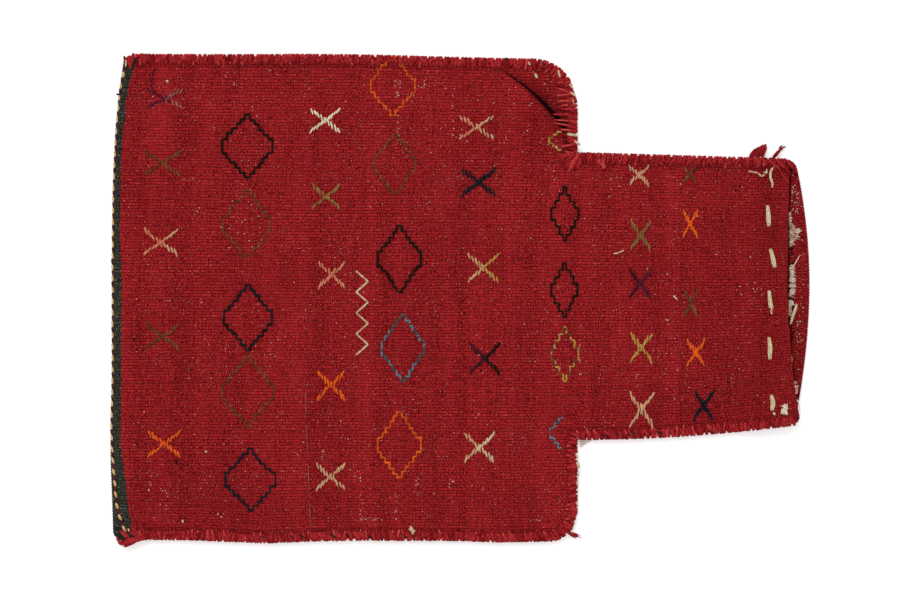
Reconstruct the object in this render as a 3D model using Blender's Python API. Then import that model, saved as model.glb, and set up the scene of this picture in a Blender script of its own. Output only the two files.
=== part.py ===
"""Kilim salt bag, lying flat and empty with its mouth towards +X.

One flat-woven cloth is folded at the foot of the bag, sewn up both sides and round
the shoulders with wool overcasting, and turned in at the mouth as a hem. Rows of
crosses and lozenges in coloured yarn lie on the front. Lengths are in metres.
The origin is on the underside, in the middle of the bag's length and width.
"""

import math

import bmesh
import bpy
from mathutils import Vector
from mathutils.bvhtree import BVHTree

MM = 0.001

# The cloth and the outline that it is sewn to
CLOTH_THICKNESS = 1.6 * MM
BODY_LENGTH = 359 * MM
NECK_LENGTH = 164 * MM
BACK_OVERHANG = 17 * MM
BODY_UPPER_AT_FOLD = 188 * MM
BODY_UPPER_AT_SHOULDER = 183.5 * MM
BODY_LOWER_AT_FOLD = 186 * MM
BODY_LOWER_AT_SHOULDER = 187 * MM
NECK_UPPER_AT_SHOULDER = 111.5 * MM
NECK_UPPER_AT_MOUTH = 106.5 * MM
NECK_LOWER_AT_SHOULDER = 108.5 * MM
NECK_LOWER_AT_MOUTH = 98 * MM
UPPER_SHOULDER_RADIUS = 32 * MM
LOWER_SHOULDER_RADIUS = 20 * MM
FOLD_CORNER_RADIUS = 5 * MM
FOLD_UPPER_RETREAT = 9 * MM
FOLD_LOWER_RETREAT = 0.5 * MM
FRONT_MOUTH_UPPER_DIP = 3 * MM
FRONT_MOUTH_LOWER_DIP = 10 * MM
BACK_MOUTH_UPPER_BOW = 14 * MM
BACK_MOUTH_LOWER_BOW = 11 * MM
MOUTH_BOW_CENTRE = 12 * MM

# How the two layers lie over each other
SEAM_GAP = 0.5 * MM
FOLD_GAP = 3.0 * MM
CAVITY_HEIGHT = 7.4 * MM
MOUTH_CLEARANCE = 4.7 * MM
FLAT_BORDER = 12 * MM
RISE_WIDTH = 34 * MM
FOLD_RISE_LENGTH = 62 * MM
PLEAT_HEIGHT = 2.8 * MM
PLEAT_LIP = 1.6 * MM
PLEAT_FADE = 26 * MM
PLEAT_FROM_SHOULDER = 70 * MM
PLEAT_FROM_UPPER_EDGE = 62 * MM

# The hems at the mouth
FRONT_HEM_WIDTH = 22 * MM
BACK_HEM_WIDTH = 13 * MM
HEM_GAP = 0.3 * MM
HEM_RAMP = 18 * MM
HEM_STITCH_INSET = 15 * MM
HEM_STITCH_WIDTH = 4.6 * MM
HEM_STITCH_HEIGHT = 1.5 * MM
BACK_STITCH_WIDTH = 3.4 * MM
BACK_STITCH_SHARE = 0.45

# The sewing yarn of the sides
SEAM_YARN = 0.8 * MM
SEAM_CLEARANCE = 0.3 * MM
STITCH_PITCH = 8.2 * MM
STITCH_BITE = 9 * MM
STITCH_VALLEY = 0.5

FOOT_KNOT_SIZE = (6 * MM, 7 * MM, 4.5 * MM)

# The woven-in yarn of the figures
FIGURE_YARN = 0.8 * MM
FIGURE_LINE_WIDTH = 1.7 * MM
CROSS_ARM_WIDTH = 2.6 * MM
SEAT_GAP = 0.3 * MM
LOZENGE_STEPS = 4
LOZENGE_STEP_SHARE = 0.18
LOZENGE_TIP_SHARE = 0.12
TWINING_WIDTH = 2.2 * MM
TWINING_WAIST = 0.55
TWINING_INSET = 2.7 * MM
TWINING_PITCH = 8.8 * MM
DARK_BAND_WIDTH = 8.5 * MM

# Worked out from the values above
TOTAL_LENGTH = BODY_LENGTH + NECK_LENGTH + BACK_OVERHANG
FOLD_X = -TOTAL_LENGTH / 2
SHOULDER_X = FOLD_X + BODY_LENGTH
FRONT_MOUTH_X = SHOULDER_X + NECK_LENGTH
BACK_MOUTH_X = FRONT_MOUTH_X + BACK_OVERHANG
HEM_PITCH = CLOTH_THICKNESS + HEM_GAP
SEAM_LIFT = SEAM_CLEARANCE + SEAM_YARN
MOUTH_GAP = 2 * HEM_PITCH + MOUTH_CLEARANCE

DYES = {
    "madder_red": (0.33, 0.012, 0.014),
    "seam_red": (0.42, 0.02, 0.016),
    "bottle_green": (0.022, 0.026, 0.022),
    "cream": (0.70, 0.58, 0.40),
    "orange": (0.76, 0.14, 0.01),
    "salmon": (0.70, 0.26, 0.16),
    "olive": (0.17, 0.10, 0.03),
    "gold": (0.48, 0.28, 0.05),
    "navy": (0.012, 0.018, 0.045),
    "teal": (0.05, 0.13, 0.15),
    "sky_blue": (0.10, 0.24, 0.36),
    "plum": (0.09, 0.012, 0.05),
}

# Rows of figures from the foot to the mouth. Each row has its kind, its place as a share
# of the body's or the neck's length, how far its lower end runs on towards the mouth, the
# size of a figure, and each figure's number, share of the half width across, and dye.
BODY_ROWS = (
    ("cross", 0.111, 0.0, (26 * MM, 20 * MM), (
        (1, 0.825, "plum"), (2, 0.555, "olive"), (3, 0.23, "salmon"),
        (4, -0.162, "olive"), (5, -0.605, "orange"),
    )),
    ("lozenge", 0.294, 1 * MM, (38 * MM, 50 * MM), (
        (1, 0.627, "bottle_green"), (2, 0.303, "olive"), (3, -0.08, "navy"),
        (4, -0.386, "olive"), (5, -0.75, "navy"),
    )),
    ("cross", 0.469, 2 * MM, (21 * MM, 20 * MM), (
        (1, 0.74, "cream"), (2, 0.418, "olive"), (3, 0.096, "salmon"),
        (4, -0.36, "orange"), (5, -0.737, "cream"),
    )),
    ("lozenge", 0.617, 3.3 * MM, (33 * MM, 48 * MM), (
        (1, 0.825, "orange"), (2, 0.551, "olive"), (3, 0.165, "bottle_green"),
        (4, -0.208, "teal"), (5, -0.61, "orange"),
    )),
    ("cross", 0.799, 2 * MM, (24 * MM, 21 * MM), (
        (1, 0.70, "salmon"), (2, 0.487, "navy"), (3, 0.128, "gold"),
        (4, -0.245, "plum"), (5, -0.618, "cream"),
    )),
)
NECK_ROWS = (
    ("lozenge", -0.06, 0.0, (20 * MM, 42 * MM), (
        (2, 0.59, "bottle_green"), (3, 0.056, "bottle_green"), (4, -0.394, "gold"),
    )),
    ("cross", 0.296, 1 * MM, (16 * MM, 20 * MM), (
        (1, 0.81, "cream"), (2, 0.448, "olive"), (3, 0.108, "plum"),
        (4, -0.357, "gold"), (5, -0.776, "cream"),
    )),
    ("cross", 0.558, 5 * MM, (12 * MM, 19 * MM), (
        (1, 0.81, "olive"), (2, 0.52, "orange"), (3, -0.045, "olive"),
        (4, -0.395, "orange"), (5, -0.78, "navy"),
    )),
)
# Half lozenges that the shoulders cut off: name, sewn side, length and height of the
# half, height of its point over the neck's line, and dye
HALF_LOZENGES = (
    ("row6_half_lozenge_1", 1, (9 * MM, 13 * MM), 10 * MM, "gold"),
    ("row6_half_lozenge_5", -1, (9 * MM, 22 * MM), 7 * MM, "sky_blue"),
)
HALF_LOZENGE_INSET = 20 * MM
# A plain zigzag between the third row and the fourth
ZIGZAG_SHARE = 0.54
ZIGZAG_ACROSS = -0.06
ZIGZAG_SIZE = (9 * MM, 66 * MM)
ZIGZAG_TURNS = 8

# Running stitches of the hems: place across the neck, length, and lean in degrees
FRONT_STITCHES = (
    (90.5 * MM, 13 * MM, 5), (63 * MM, 16.5 * MM, -6), (30.5 * MM, 15 * MM, 4),
    (-3 * MM, 18.5 * MM, -5), (-38.5 * MM, 18 * MM, 3), (-79 * MM, 13 * MM, 2),
)
BACK_STITCHES = ((-12 * MM, 17 * MM, 16), (-50 * MM, 10 * MM, 0))


def remove_everything():
    for thing in list(bpy.data.objects):
        bpy.data.objects.remove(thing, do_unlink=True)


def dyed(name):
    """The wool or cotton of one dye."""
    material = bpy.data.materials.get(name) or bpy.data.materials.new(name)
    material.use_nodes = True
    shader = material.node_tree.nodes["Principled BSDF"]
    shader.inputs["Base Color"].default_value = (*DYES[name], 1.0)
    shader.inputs["Roughness"].default_value = 0.9
    shader.inputs["Metallic"].default_value = 0.0
    return material


def eased(value, start, end):
    """0 up to start, 1 from end on, and a smooth curve between."""
    share = min(1.0, max(0.0, (value - start) / (end - start)))
    return share * share * (3.0 - 2.0 * share)


def between(low, high, share):
    return low + (high - low) * share


def rounded_drop(distance_to_corner, radius):
    """How far a rounded corner has fallen from the straight edge, near its end."""
    reach = max(0.0, radius - distance_to_corner)
    return radius - math.sqrt(max(0.0, radius * radius - reach * reach))


def body_edge(x, side):
    """The y of the body's upper edge, side 1, or lower edge, side -1."""
    share = (x - FOLD_X) / BODY_LENGTH
    if side > 0:
        straight = between(BODY_UPPER_AT_FOLD, BODY_UPPER_AT_SHOULDER, share)
        radius = UPPER_SHOULDER_RADIUS
    else:
        straight = between(BODY_LOWER_AT_FOLD, BODY_LOWER_AT_SHOULDER, share)
        radius = LOWER_SHOULDER_RADIUS
    return side * (straight - rounded_drop(SHOULDER_X - x, radius))


def neck_edge(x, side):
    share = (x - SHOULDER_X) / NECK_LENGTH
    if side > 0:
        return between(NECK_UPPER_AT_SHOULDER, NECK_UPPER_AT_MOUTH, share)
    return -between(NECK_LOWER_AT_SHOULDER, NECK_LOWER_AT_MOUTH, share**2)


def fold_edge(y):
    """The x of the fold at the foot of the bag, which runs back towards both sides."""
    half = BODY_UPPER_AT_FOLD if y > 0 else BODY_LOWER_AT_FOLD
    retreat = FOLD_UPPER_RETREAT if y > 0 else FOLD_LOWER_RETREAT
    run_back = retreat * (abs(y) / half) ** 3
    return FOLD_X + run_back + rounded_drop(half - abs(y), FOLD_CORNER_RADIUS)


def mouth_edge(y, panel):
    """The x of a panel's turned edge at the mouth."""
    off_centre = (y - MOUTH_BOW_CENTRE) / NECK_UPPER_AT_MOUTH
    if panel == "front":
        dip = FRONT_MOUTH_UPPER_DIP if off_centre > 0 else FRONT_MOUTH_LOWER_DIP
        return FRONT_MOUTH_X + dip * off_centre**2
    bow = BACK_MOUTH_UPPER_BOW if off_centre > 0 else BACK_MOUTH_LOWER_BOW
    return BACK_MOUTH_X - bow * off_centre**2


CORNER_STEPS = (1.0, 0.75, 0.5, 0.23, 0.07, 0.0)
NECK_STEPS = (0.0, 0.33, 0.67, 1.0)


def seam_line(side):
    """The sewn edge of one side, from the fold round the shoulder to the mouth, as (x, y)."""
    radius = UPPER_SHOULDER_RADIUS if side > 0 else LOWER_SHOULDER_RADIUS
    line = [(FOLD_X, body_edge(FOLD_X, side))]
    for share in CORNER_STEPS:
        x = SHOULDER_X - radius * share
        line.append((x, body_edge(x, side)))
    for share in NECK_STEPS:
        x = between(SHOULDER_X, BACK_MOUTH_X, share)
        line.append((x, neck_edge(x, side)))
    return line


SEAM_LINES = {side: seam_line(side) for side in (1, -1)}


def seam_distance(x, y):
    """How far a point of the cloth lies from the nearest sewn edge."""
    nearest = math.inf
    for line in SEAM_LINES.values():
        for (ax, ay), (bx, by) in zip(line, line[1:]):
            dx, dy = bx - ax, by - ay
            along = ((x - ax) * dx + (y - ay) * dy) / (dx * dx + dy * dy)
            along = min(1.0, max(0.0, along))
            nearest = min(nearest, math.hypot(x - ax - along * dx, y - ay - along * dy))
    return nearest


def belly(x, y):
    """0 in the flat sewn border and 1 where the cloth lies free."""
    return eased(seam_distance(x, y), FLAT_BORDER, FLAT_BORDER + RISE_WIDTH)


def pleat_rise(x, y):
    """The tuck across the upper shoulder: a lip that falls away towards the body."""
    foot = Vector((SHOULDER_X - PLEAT_FROM_SHOULDER, BODY_UPPER_AT_SHOULDER))
    tip = Vector((SHOULDER_X, BODY_UPPER_AT_SHOULDER - PLEAT_FROM_UPPER_EDGE))
    along = (tip - foot).normalized()
    body_side = Vector((along.y, -along.x))
    offset = (Vector((x, y)) - foot).dot(body_side)
    if offset < -PLEAT_LIP:
        return 0.0
    ends = eased(seam_distance(x, y), STITCH_BITE + SEAM_YARN, 2 * FLAT_BORDER)
    if offset < 0:
        return PLEAT_HEIGHT * ends * (1 + offset / PLEAT_LIP)
    return PLEAT_HEIGHT * ends * (1 - eased(offset, 0, PLEAT_FADE))


def back_height(x, y):
    """The middle of the back panel's thickness."""
    return CLOTH_THICKNESS / 2 + SEAM_LIFT * (1 - belly(x, y))


def front_height(x, y):
    """The middle of the front panel's thickness."""
    hem_start = FRONT_MOUTH_X - FRONT_HEM_WIDTH - SEAM_YARN
    hem = eased(x, hem_start - HEM_RAMP, hem_start)
    foot = eased(x - fold_edge(y), 0, FOLD_RISE_LENGTH)
    sewn = SEAM_GAP + 2 * HEM_PITCH * hem
    free = between(between(FOLD_GAP, CAVITY_HEIGHT, foot), MOUTH_GAP, hem)
    gap = between(sewn, free, belly(x, y))
    return back_height(x, y) + CLOTH_THICKNESS + gap + pleat_rise(x, y)


# The lanes of the cloth's grid, as distances in from a sewn edge
EDGE_LANES = (0.0, FLAT_BORDER, 26 * MM, 46 * MM)
FOLD_ARC = 6
HEM_ARC = 4


def lanes_across(x, in_body):
    """The y of every lane at one station: the neck's lanes, and the body's on both sides."""
    neck_x = max(x, SHOULDER_X)
    top, bottom = neck_edge(neck_x, 1), neck_edge(neck_x, -1)
    lanes = [top - lane for lane in EDGE_LANES]
    lanes += [between(bottom, top, 0.5)]
    lanes += [bottom + lane for lane in reversed(EDGE_LANES)]
    if not in_body:
        return lanes
    upper, lower = [], []
    for side, found in ((1, upper), (-1, lower)):
        edge, notch = body_edge(x, side), neck_edge(SHOULDER_X, side)
        straight = BODY_UPPER_AT_SHOULDER if side > 0 else BODY_LOWER_AT_SHOULDER
        squeeze = (edge - notch) / (side * straight - notch)
        found.extend(edge - side * lane * squeeze for lane in EDGE_LANES)
    return upper + lanes + lower[::-1]


def body_stations():
    """Places along the body as shares of the way from the fold to the shoulder."""
    band = DARK_BAND_WIDTH - CLOTH_THICKNESS - FOLD_GAP / 2
    from_fold = (0.0, band, 18 * MM, 36 * MM, FOLD_RISE_LENGTH)
    shares = [distance / BODY_LENGTH for distance in from_fold]
    shares += [0.31, 0.45, 0.58]
    near = sorted(
        {UPPER_SHOULDER_RADIUS * share for share in CORNER_STEPS}
        | {LOWER_SHOULDER_RADIUS * share for share in CORNER_STEPS[3:5]}
        | {72 * MM, 46 * MM, 30 * MM, FLAT_BORDER},
        reverse=True,
    )
    return shares + [1 - distance / BODY_LENGTH for distance in near]


def neck_stations(panel):
    """Places along the neck as distances from the shoulder, up to where the hem turns."""
    first = [FLAT_BORDER, 26 * MM, 46 * MM, 84 * MM]
    if panel == "back":
        reach = BACK_MOUTH_X - SHOULDER_X
        return first + [reach - 4 * BACK_HEM_WIDTH, reach - BACK_HEM_WIDTH, reach]
    reach = FRONT_MOUTH_X - SHOULDER_X
    hem_start = reach - FRONT_HEM_WIDTH - SEAM_YARN
    return first + [hem_start - HEM_RAMP, hem_start - HEM_RAMP / 2, hem_start, reach]


def panel_height(panel, x, y):
    return front_height(x, y) if panel == "front" else back_height(x, y)


def build_cloth():
    """The folded cloth: its middle surface as one grid in the shape of the bag, then thickened."""
    mesh = bmesh.new()
    rows = []

    def add_row(points):
        rows.append([mesh.verts.new(point) for point in points])

    def panel_rows(panel):
        """Rows of one panel from the fold's tangent to its raw edge inside the hem."""
        found = []
        for share in body_stations():
            row = []
            for y in lanes_across(between(FOLD_X, SHOULDER_X, share), True):
                start = fold_edge(y) + CLOTH_THICKNESS / 2 + fold_radius(y)
                x = between(start, SHOULDER_X, share)
                row.append((x, y, panel_height(panel, x, y)))
            found.append(row)
        stations = neck_stations(panel)
        turn = HEM_PITCH / 2
        hem_side = -1 if panel == "front" else 1
        reach = stations[-1]
        for distance in stations:
            row = []
            for y in lanes_across(SHOULDER_X + distance, False):
                end = mouth_edge(y, panel) - CLOTH_THICKNESS / 2 - turn
                x = between(SHOULDER_X, end, distance / reach)
                row.append((x, y, panel_height(panel, x, y)))
            found.append(row)
        for step in range(1, HEM_ARC + 1):
            angle = math.pi * step / HEM_ARC
            row = []
            for x, y, z in found[len(body_stations()) + len(stations) - 1]:
                row.append((x + turn * math.sin(angle), y, z + hem_side * turn * (1 - math.cos(angle))))
            found.append(row)
        hem_width = FRONT_HEM_WIDTH if panel == "front" else BACK_HEM_WIDTH
        for back in (hem_width / 2, hem_width - CLOTH_THICKNESS):
            row = []
            for x, y, z in found[len(body_stations()) + len(stations) - 1]:
                inner = x - back + turn
                row.append((inner, y, panel_height(panel, inner, y) + hem_side * HEM_PITCH))
            found.append(row)
        return found

    front, back = panel_rows("front"), panel_rows("back")
    for row in reversed(front):
        add_row(row)
    for step in range(1, FOLD_ARC):
        angle = math.pi * step / FOLD_ARC
        row = []
        for (x, y, high), (_, _, low) in zip(front[0], back[0]):
            radius = (high - low) / 2
            row.append((x - radius * math.sin(angle), y, low + radius * (1 + math.cos(angle))))
        add_row(row)
    for row in back:
        add_row(row)

    outer_lanes = len(EDGE_LANES)
    for row, following in zip(rows, rows[1:]):
        if len(row) > len(following):
            row = row[outer_lanes:-outer_lanes]
        elif len(row) < len(following):
            following = following[outer_lanes:-outer_lanes]
        for lane in range(len(row) - 1):
            mesh.faces.new((row[lane], following[lane], following[lane + 1], row[lane + 1]))

    crease_pleat(mesh)
    return finish_cloth(mesh)


def fold_radius(y):
    """Half the distance between the two panels' middles at the fold."""
    x = fold_edge(y)
    return (front_height(x, y) - back_height(x, y)) / 2


def crease_pleat(mesh):
    """Cuts the pleat's two edges into the front panel and seats what lies near them."""
    foot = Vector((SHOULDER_X - PLEAT_FROM_SHOULDER, BODY_UPPER_AT_SHOULDER, 0))
    tip = Vector((SHOULDER_X, BODY_UPPER_AT_SHOULDER - PLEAT_FROM_UPPER_EDGE, 0))
    along = (tip - foot).normalized()
    body_side = Vector((along.y, -along.x, 0))
    for offset in (0.0, -PLEAT_LIP):
        faces = [face for face in mesh.faces if on_upper_shoulder(face.calc_center_median())]
        edges = {edge for face in faces for edge in face.edges}
        corners = {vertex for face in faces for vertex in face.verts}
        bmesh.ops.bisect_plane(
            mesh,
            geom=[*faces, *edges, *corners],
            plane_co=foot + body_side * offset,
            plane_no=body_side,
            dist=0.2 * MM,
        )
    for vertex in mesh.verts:
        if on_upper_shoulder(vertex.co):
            vertex.co.z = front_height(vertex.co.x, vertex.co.y)


def on_upper_shoulder(point):
    """Whether a point is on the front panel where the pleat lies, clear of the neck's edge."""
    on_front = point.z > back_height(point.x, point.y) + CLOTH_THICKNESS
    along = SHOULDER_X - PLEAT_FROM_SHOULDER - 2 * PLEAT_FADE < point.x <= SHOULDER_X
    return on_front and along and point.y > neck_edge(SHOULDER_X, 1)


def finish_cloth(mesh):
    data = bpy.data.meshes.new("kilim_cloth")
    bmesh.ops.recalc_face_normals(mesh, faces=mesh.faces)
    mesh.to_mesh(data)
    mesh.free()
    cloth = bpy.data.objects.new("kilim_cloth", data)
    bpy.context.scene.collection.objects.link(cloth)
    data.materials.append(dyed("madder_red"))
    data.materials.append(dyed("bottle_green"))
    for face in data.polygons:
        at_foot = face.center.x < fold_edge(face.center.y) + DARK_BAND_WIDTH
        face.material_index = 1 if at_foot else 0
    thick = cloth.modifiers.new("Thickness", "SOLIDIFY")
    thick.thickness = CLOTH_THICKNESS
    thick.offset = 0.0
    thick.use_even_offset = True
    data.shade_smooth()
    data.set_sharp_from_angle(angle=math.radians(40))
    return cloth


def linked(name, mesh, dye, smooth=True):
    """Turns a bmesh into a named object of one dye."""
    bmesh.ops.recalc_face_normals(mesh, faces=mesh.faces)
    data = bpy.data.meshes.new(name)
    mesh.to_mesh(data)
    mesh.free()
    data.materials.append(dyed(dye))
    if smooth:
        data.shade_smooth()
        data.set_sharp_from_angle(angle=math.radians(50))
    thing = bpy.data.objects.new(name, data)
    bpy.context.scene.collection.objects.link(thing)
    return thing


def bridge_rings(mesh, rings):
    """Joins rings of as many vertices into one closed skin with two end faces."""
    for ring, following in zip(rings, rings[1:]):
        for corner in range(len(ring)):
            other = (corner + 1) % len(ring)
            mesh.faces.new((ring[corner], following[corner], following[other], ring[other]))
    mesh.faces.new(rings[0])
    mesh.faces.new(rings[-1][::-1])


def surface_below(tree, x, y):
    """The height of the cloth's upper face at a point."""
    place = tree.ray_cast(Vector((x, y, TOTAL_LENGTH)), Vector((0, 0, -1)))[0]
    return place.z


def seat_on_cloth(tree, points, faces):
    """Heights for flat-laid points, so that no face that joins them comes nearer than the seat's gap."""
    heights = [surface_below(tree, x, y) + SEAT_GAP for x, y in points]
    lift = 0.0
    for face in faces:
        for first, second in zip(face, face[1:] + face[:1]):
            for share in (0.25, 0.5, 0.75):
                x = between(points[first][0], points[second][0], share)
                y = between(points[first][1], points[second][1], share)
                wanted = surface_below(tree, x, y) + SEAT_GAP
                lift = max(lift, wanted - between(heights[first], heights[second], share))
    return [height + lift for height in heights]


def laid_yarn(tree, name, points, faces, dye):
    """A flat figure of yarn on the cloth: its outline's faces, raised by the yarn's height."""
    heights = seat_on_cloth(tree, points, faces)
    mesh = bmesh.new()
    low = [mesh.verts.new((x, y, z)) for (x, y), z in zip(points, heights)]
    base = [mesh.faces.new([low[index] for index in face]) for face in faces]
    raised = bmesh.ops.extrude_face_region(mesh, geom=base, use_keep_orig=True)
    top = [item for item in raised["geom"] if isinstance(item, bmesh.types.BMVert)]
    bmesh.ops.translate(mesh, verts=top, vec=(0, 0, FIGURE_YARN))
    return linked(name, mesh, dye)


def band_along(path, width, closed):
    """The outline points and faces of a band of even width along a path."""
    count = len(path)
    points, faces = [], []
    for index, here in enumerate(path):
        before = path[index - 1] if closed or index else here
        after = path[(index + 1) % count] if closed or index < count - 1 else here
        arriving = (here - before).normalized() if before != here else (after - here).normalized()
        leaving = (after - here).normalized() if after != here else arriving
        mitre = (arriving + leaving).normalized()
        across = Vector((-mitre.y, mitre.x))
        reach = width / 2 / max(0.5, mitre.dot(leaving))
        points += [tuple(here + across * reach), tuple(here - across * reach)]
    for index in range(count if closed else count - 1):
        near, far = 2 * index, 2 * ((index + 1) % count)
        faces.append([near, far, far + 1, near + 1])
    return points, faces


def lozenge_path(centre, size):
    """A closed lozenge whose four sides go down in steps, as the weave makes them."""
    half_x, half_y = (side / 2 - FIGURE_LINE_WIDTH / 2 for side in size)
    quarter = []
    for step in range(LOZENGE_STEPS):
        x = half_x * between(LOZENGE_TIP_SHARE, 1, step / LOZENGE_STEPS)
        quarter.append(Vector((x, half_y * (1 - step * LOZENGE_STEP_SHARE))))
        quarter.append(Vector((x, half_y * (1 - (step + 1) * LOZENGE_STEP_SHARE))))
    quarter.append(Vector((half_x, quarter[-1].y)))
    path = []
    for sign_x, sign_y, order in ((1, 1, 1), (1, -1, -1), (-1, -1, 1), (-1, 1, -1)):
        path += [centre + Vector((sign_x * p.x, sign_y * p.y)) for p in quarter[::order]]
    return path


def lozenge(tree, name, centre, size, dye):
    points, faces = band_along(lozenge_path(centre, size), FIGURE_LINE_WIDTH, True)
    return laid_yarn(tree, name, points, faces, dye)


def cross(tree, name, centre, size, dye):
    """Two crossing arms, each a leaning band, joined in the middle."""
    rising = Vector((size[0], size[1])).normalized()
    falling = Vector((size[0], -size[1])).normalized()
    reach = math.hypot(*size) / 2 - CROSS_ARM_WIDTH / 2
    half = CROSS_ARM_WIDTH / 2
    turn = abs(rising.x * falling.y - rising.y * falling.x)
    knot = half / turn
    corners = [
        centre + (rising + falling) * knot,
        centre + (rising - falling) * knot,
        centre - (rising + falling) * knot,
        centre + (falling - rising) * knot,
    ]
    points = [tuple(corner) for corner in corners]
    faces = [[0, 1, 2, 3]]
    arms = ((rising, 0, 1), (-falling, 1, 2), (-rising, 2, 3), (falling, 3, 0))
    for along, first, second in arms:
        across = Vector((-along.y, along.x)) * half
        if (corners[first] - centre).dot(across) < 0:
            first, second = second, first
        tip = len(points)
        points += [tuple(centre + along * reach + across), tuple(centre + along * reach - across)]
        faces.append([first, tip, tip + 1, second])
    return laid_yarn(tree, name, points, faces, dye)


def half_lozenge(tree, name, point, size, dye):
    """A half lozenge that opens towards the shoulder's edge."""
    length, height = size
    path = [
        point + Vector((length, height / 2)),
        point,
        point + Vector((length, -height / 2)),
    ]
    points, faces = band_along(path, FIGURE_LINE_WIDTH, False)
    return laid_yarn(tree, name, points, faces, dye)


def zigzag(tree, name, centre, size, dye):
    path = []
    for turn in range(ZIGZAG_TURNS + 1):
        side = 1 if turn % 2 else -1
        y = size[1] * (0.5 - turn / ZIGZAG_TURNS)
        path.append(centre + Vector((side * size[0] / 2, y)))
    points, faces = band_along(path, FIGURE_LINE_WIDTH, False)
    return laid_yarn(tree, name, points, faces, dye)


def place_across(x, share, in_body):
    """The y at a share of half the cloth's width."""
    side = 1 if share > 0 else -1
    edge = body_edge(x, side) if in_body else neck_edge(x, side)
    return abs(share) * edge


def build_figures(tree):
    makers = {"cross": cross, "lozenge": lozenge}
    row_number = 0
    for rows, start, length in (
        (BODY_ROWS, FOLD_X, BODY_LENGTH),
        (NECK_ROWS, SHOULDER_X, NECK_LENGTH),
    ):
        for kind, along, run_on, size, figures in rows:
            row_number += 1
            for number, share, dye in figures:
                x = start + along * length - run_on * share
                y = place_across(x, share, rows is BODY_ROWS)
                name = f"row{row_number}_{kind}_{number}"
                makers[kind](tree, name, Vector((x, y)), size, dye)
    for name, side, size, above_neck, dye in HALF_LOZENGES:
        y = neck_edge(SHOULDER_X, side) + above_neck
        half_lozenge(tree, name, Vector((SHOULDER_X - HALF_LOZENGE_INSET, y)), size, dye)
    x = FOLD_X + ZIGZAG_SHARE * BODY_LENGTH
    y = place_across(x, ZIGZAG_ACROSS, True)
    zigzag(tree, "cream_zigzag", Vector((x, y)), ZIGZAG_SIZE, "cream")


def build_twining(tree):
    """The two-ply twined line that closes the dark band along the fold."""
    top = BODY_UPPER_AT_FOLD - STITCH_BITE - 2 * SEAM_YARN - FOLD_CORNER_RADIUS / 2
    bottom = -(BODY_LOWER_AT_FOLD - STITCH_BITE - 2 * SEAM_YARN - FOLD_CORNER_RADIUS / 2)
    steps = 2 * round((top - bottom) / TWINING_PITCH)
    points, faces = [], []
    for step in range(steps + 1):
        y = between(top, bottom, step / steps)
        x = fold_edge(y) + TWINING_INSET
        half = TWINING_WIDTH / 2 * (1.0 if step % 2 else TWINING_WAIST)
        points += [(x - half, y), (x + half, y)]
    for step in range(steps):
        faces.append([2 * step, 2 * step + 1, 2 * step + 3, 2 * step + 2])
    laid_yarn(tree, "fold_twining", points, faces, "cream")


def spindle(tree, name, centre, length, width, height, lean, dye):
    """One long running stitch: thick in the middle and pointed where it enters the cloth."""
    along = Vector((math.sin(lean), math.cos(lean)))
    across = Vector((along.y, -along.x))
    shares = ((-0.5, 0.35), (-0.3, 0.9), (0.0, 1.0), (0.3, 0.9), (0.5, 0.35))
    points, faces = [], []
    for place, thick in shares:
        for side in (-0.5, 0.5):
            points.append(tuple(centre + along * length * place + across * width * thick * side))
    for index in range(len(shares) - 1):
        near = 2 * index
        faces.append([near, near + 1, near + 3, near + 2])
    heights = seat_on_cloth(tree, points, faces)
    mesh = bmesh.new()
    rings = []
    for index, (place, thick) in enumerate(shares):
        left, right = 2 * index, 2 * index + 1
        middle = [between(points[left][axis], points[right][axis], 0.5) for axis in (0, 1)]
        crest = (heights[left] + heights[right]) / 2 + height * thick
        shoulder = [
            (*[between(points[end][axis], middle[axis], 0.25) for axis in (0, 1)],
             between(heights[end], crest, 0.75))
            for end in (left, right)
        ]
        ring = [
            (*points[left], heights[left]), shoulder[0], (*middle, crest),
            shoulder[1], (*points[right], heights[right]),
        ]
        rings.append([mesh.verts.new(point) for point in ring])
    bridge_rings(mesh, rings)
    return linked(name, mesh, dye)


def build_hem_stitches(tree):
    for number, (y, length, lean) in enumerate(FRONT_STITCHES, 1):
        x = mouth_edge(y, "front") - HEM_STITCH_INSET
        spindle(
            tree, f"front_hem_stitch_{number}", Vector((x, y)), length,
            HEM_STITCH_WIDTH, HEM_STITCH_HEIGHT, math.radians(lean), "cream",
        )
    for number, (y, length, lean) in enumerate(BACK_STITCHES, 1):
        x = between(mouth_edge(y, "front"), mouth_edge(y, "back"), BACK_STITCH_SHARE)
        spindle(
            tree, f"back_hem_stitch_{number}", Vector((x, y)), length,
            BACK_STITCH_WIDTH, HEM_STITCH_HEIGHT / 2, math.radians(lean), "cream",
        )


def sewn_path(side):
    """The front panel's sewn edge from the fold to the front mouth, as points of the cloth's grid."""
    lane = 0 if side > 0 else -1
    path = []
    for share in body_stations():
        y = lanes_across(between(FOLD_X, SHOULDER_X, share), True)[lane]
        start = fold_edge(y) + CLOTH_THICKNESS / 2 + fold_radius(y)
        path.append(Vector((between(start, SHOULDER_X, share), y)))
    stations = neck_stations("front")
    path.append(Vector((SHOULDER_X, neck_edge(SHOULDER_X, side))))
    for distance in stations:
        y = lanes_across(SHOULDER_X + distance, False)[lane]
        end = mouth_edge(y, "front") - CLOTH_THICKNESS / 2 - HEM_PITCH / 2
        path.append(Vector((between(SHOULDER_X, end, distance / stations[-1]), y)))
    return path


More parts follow.
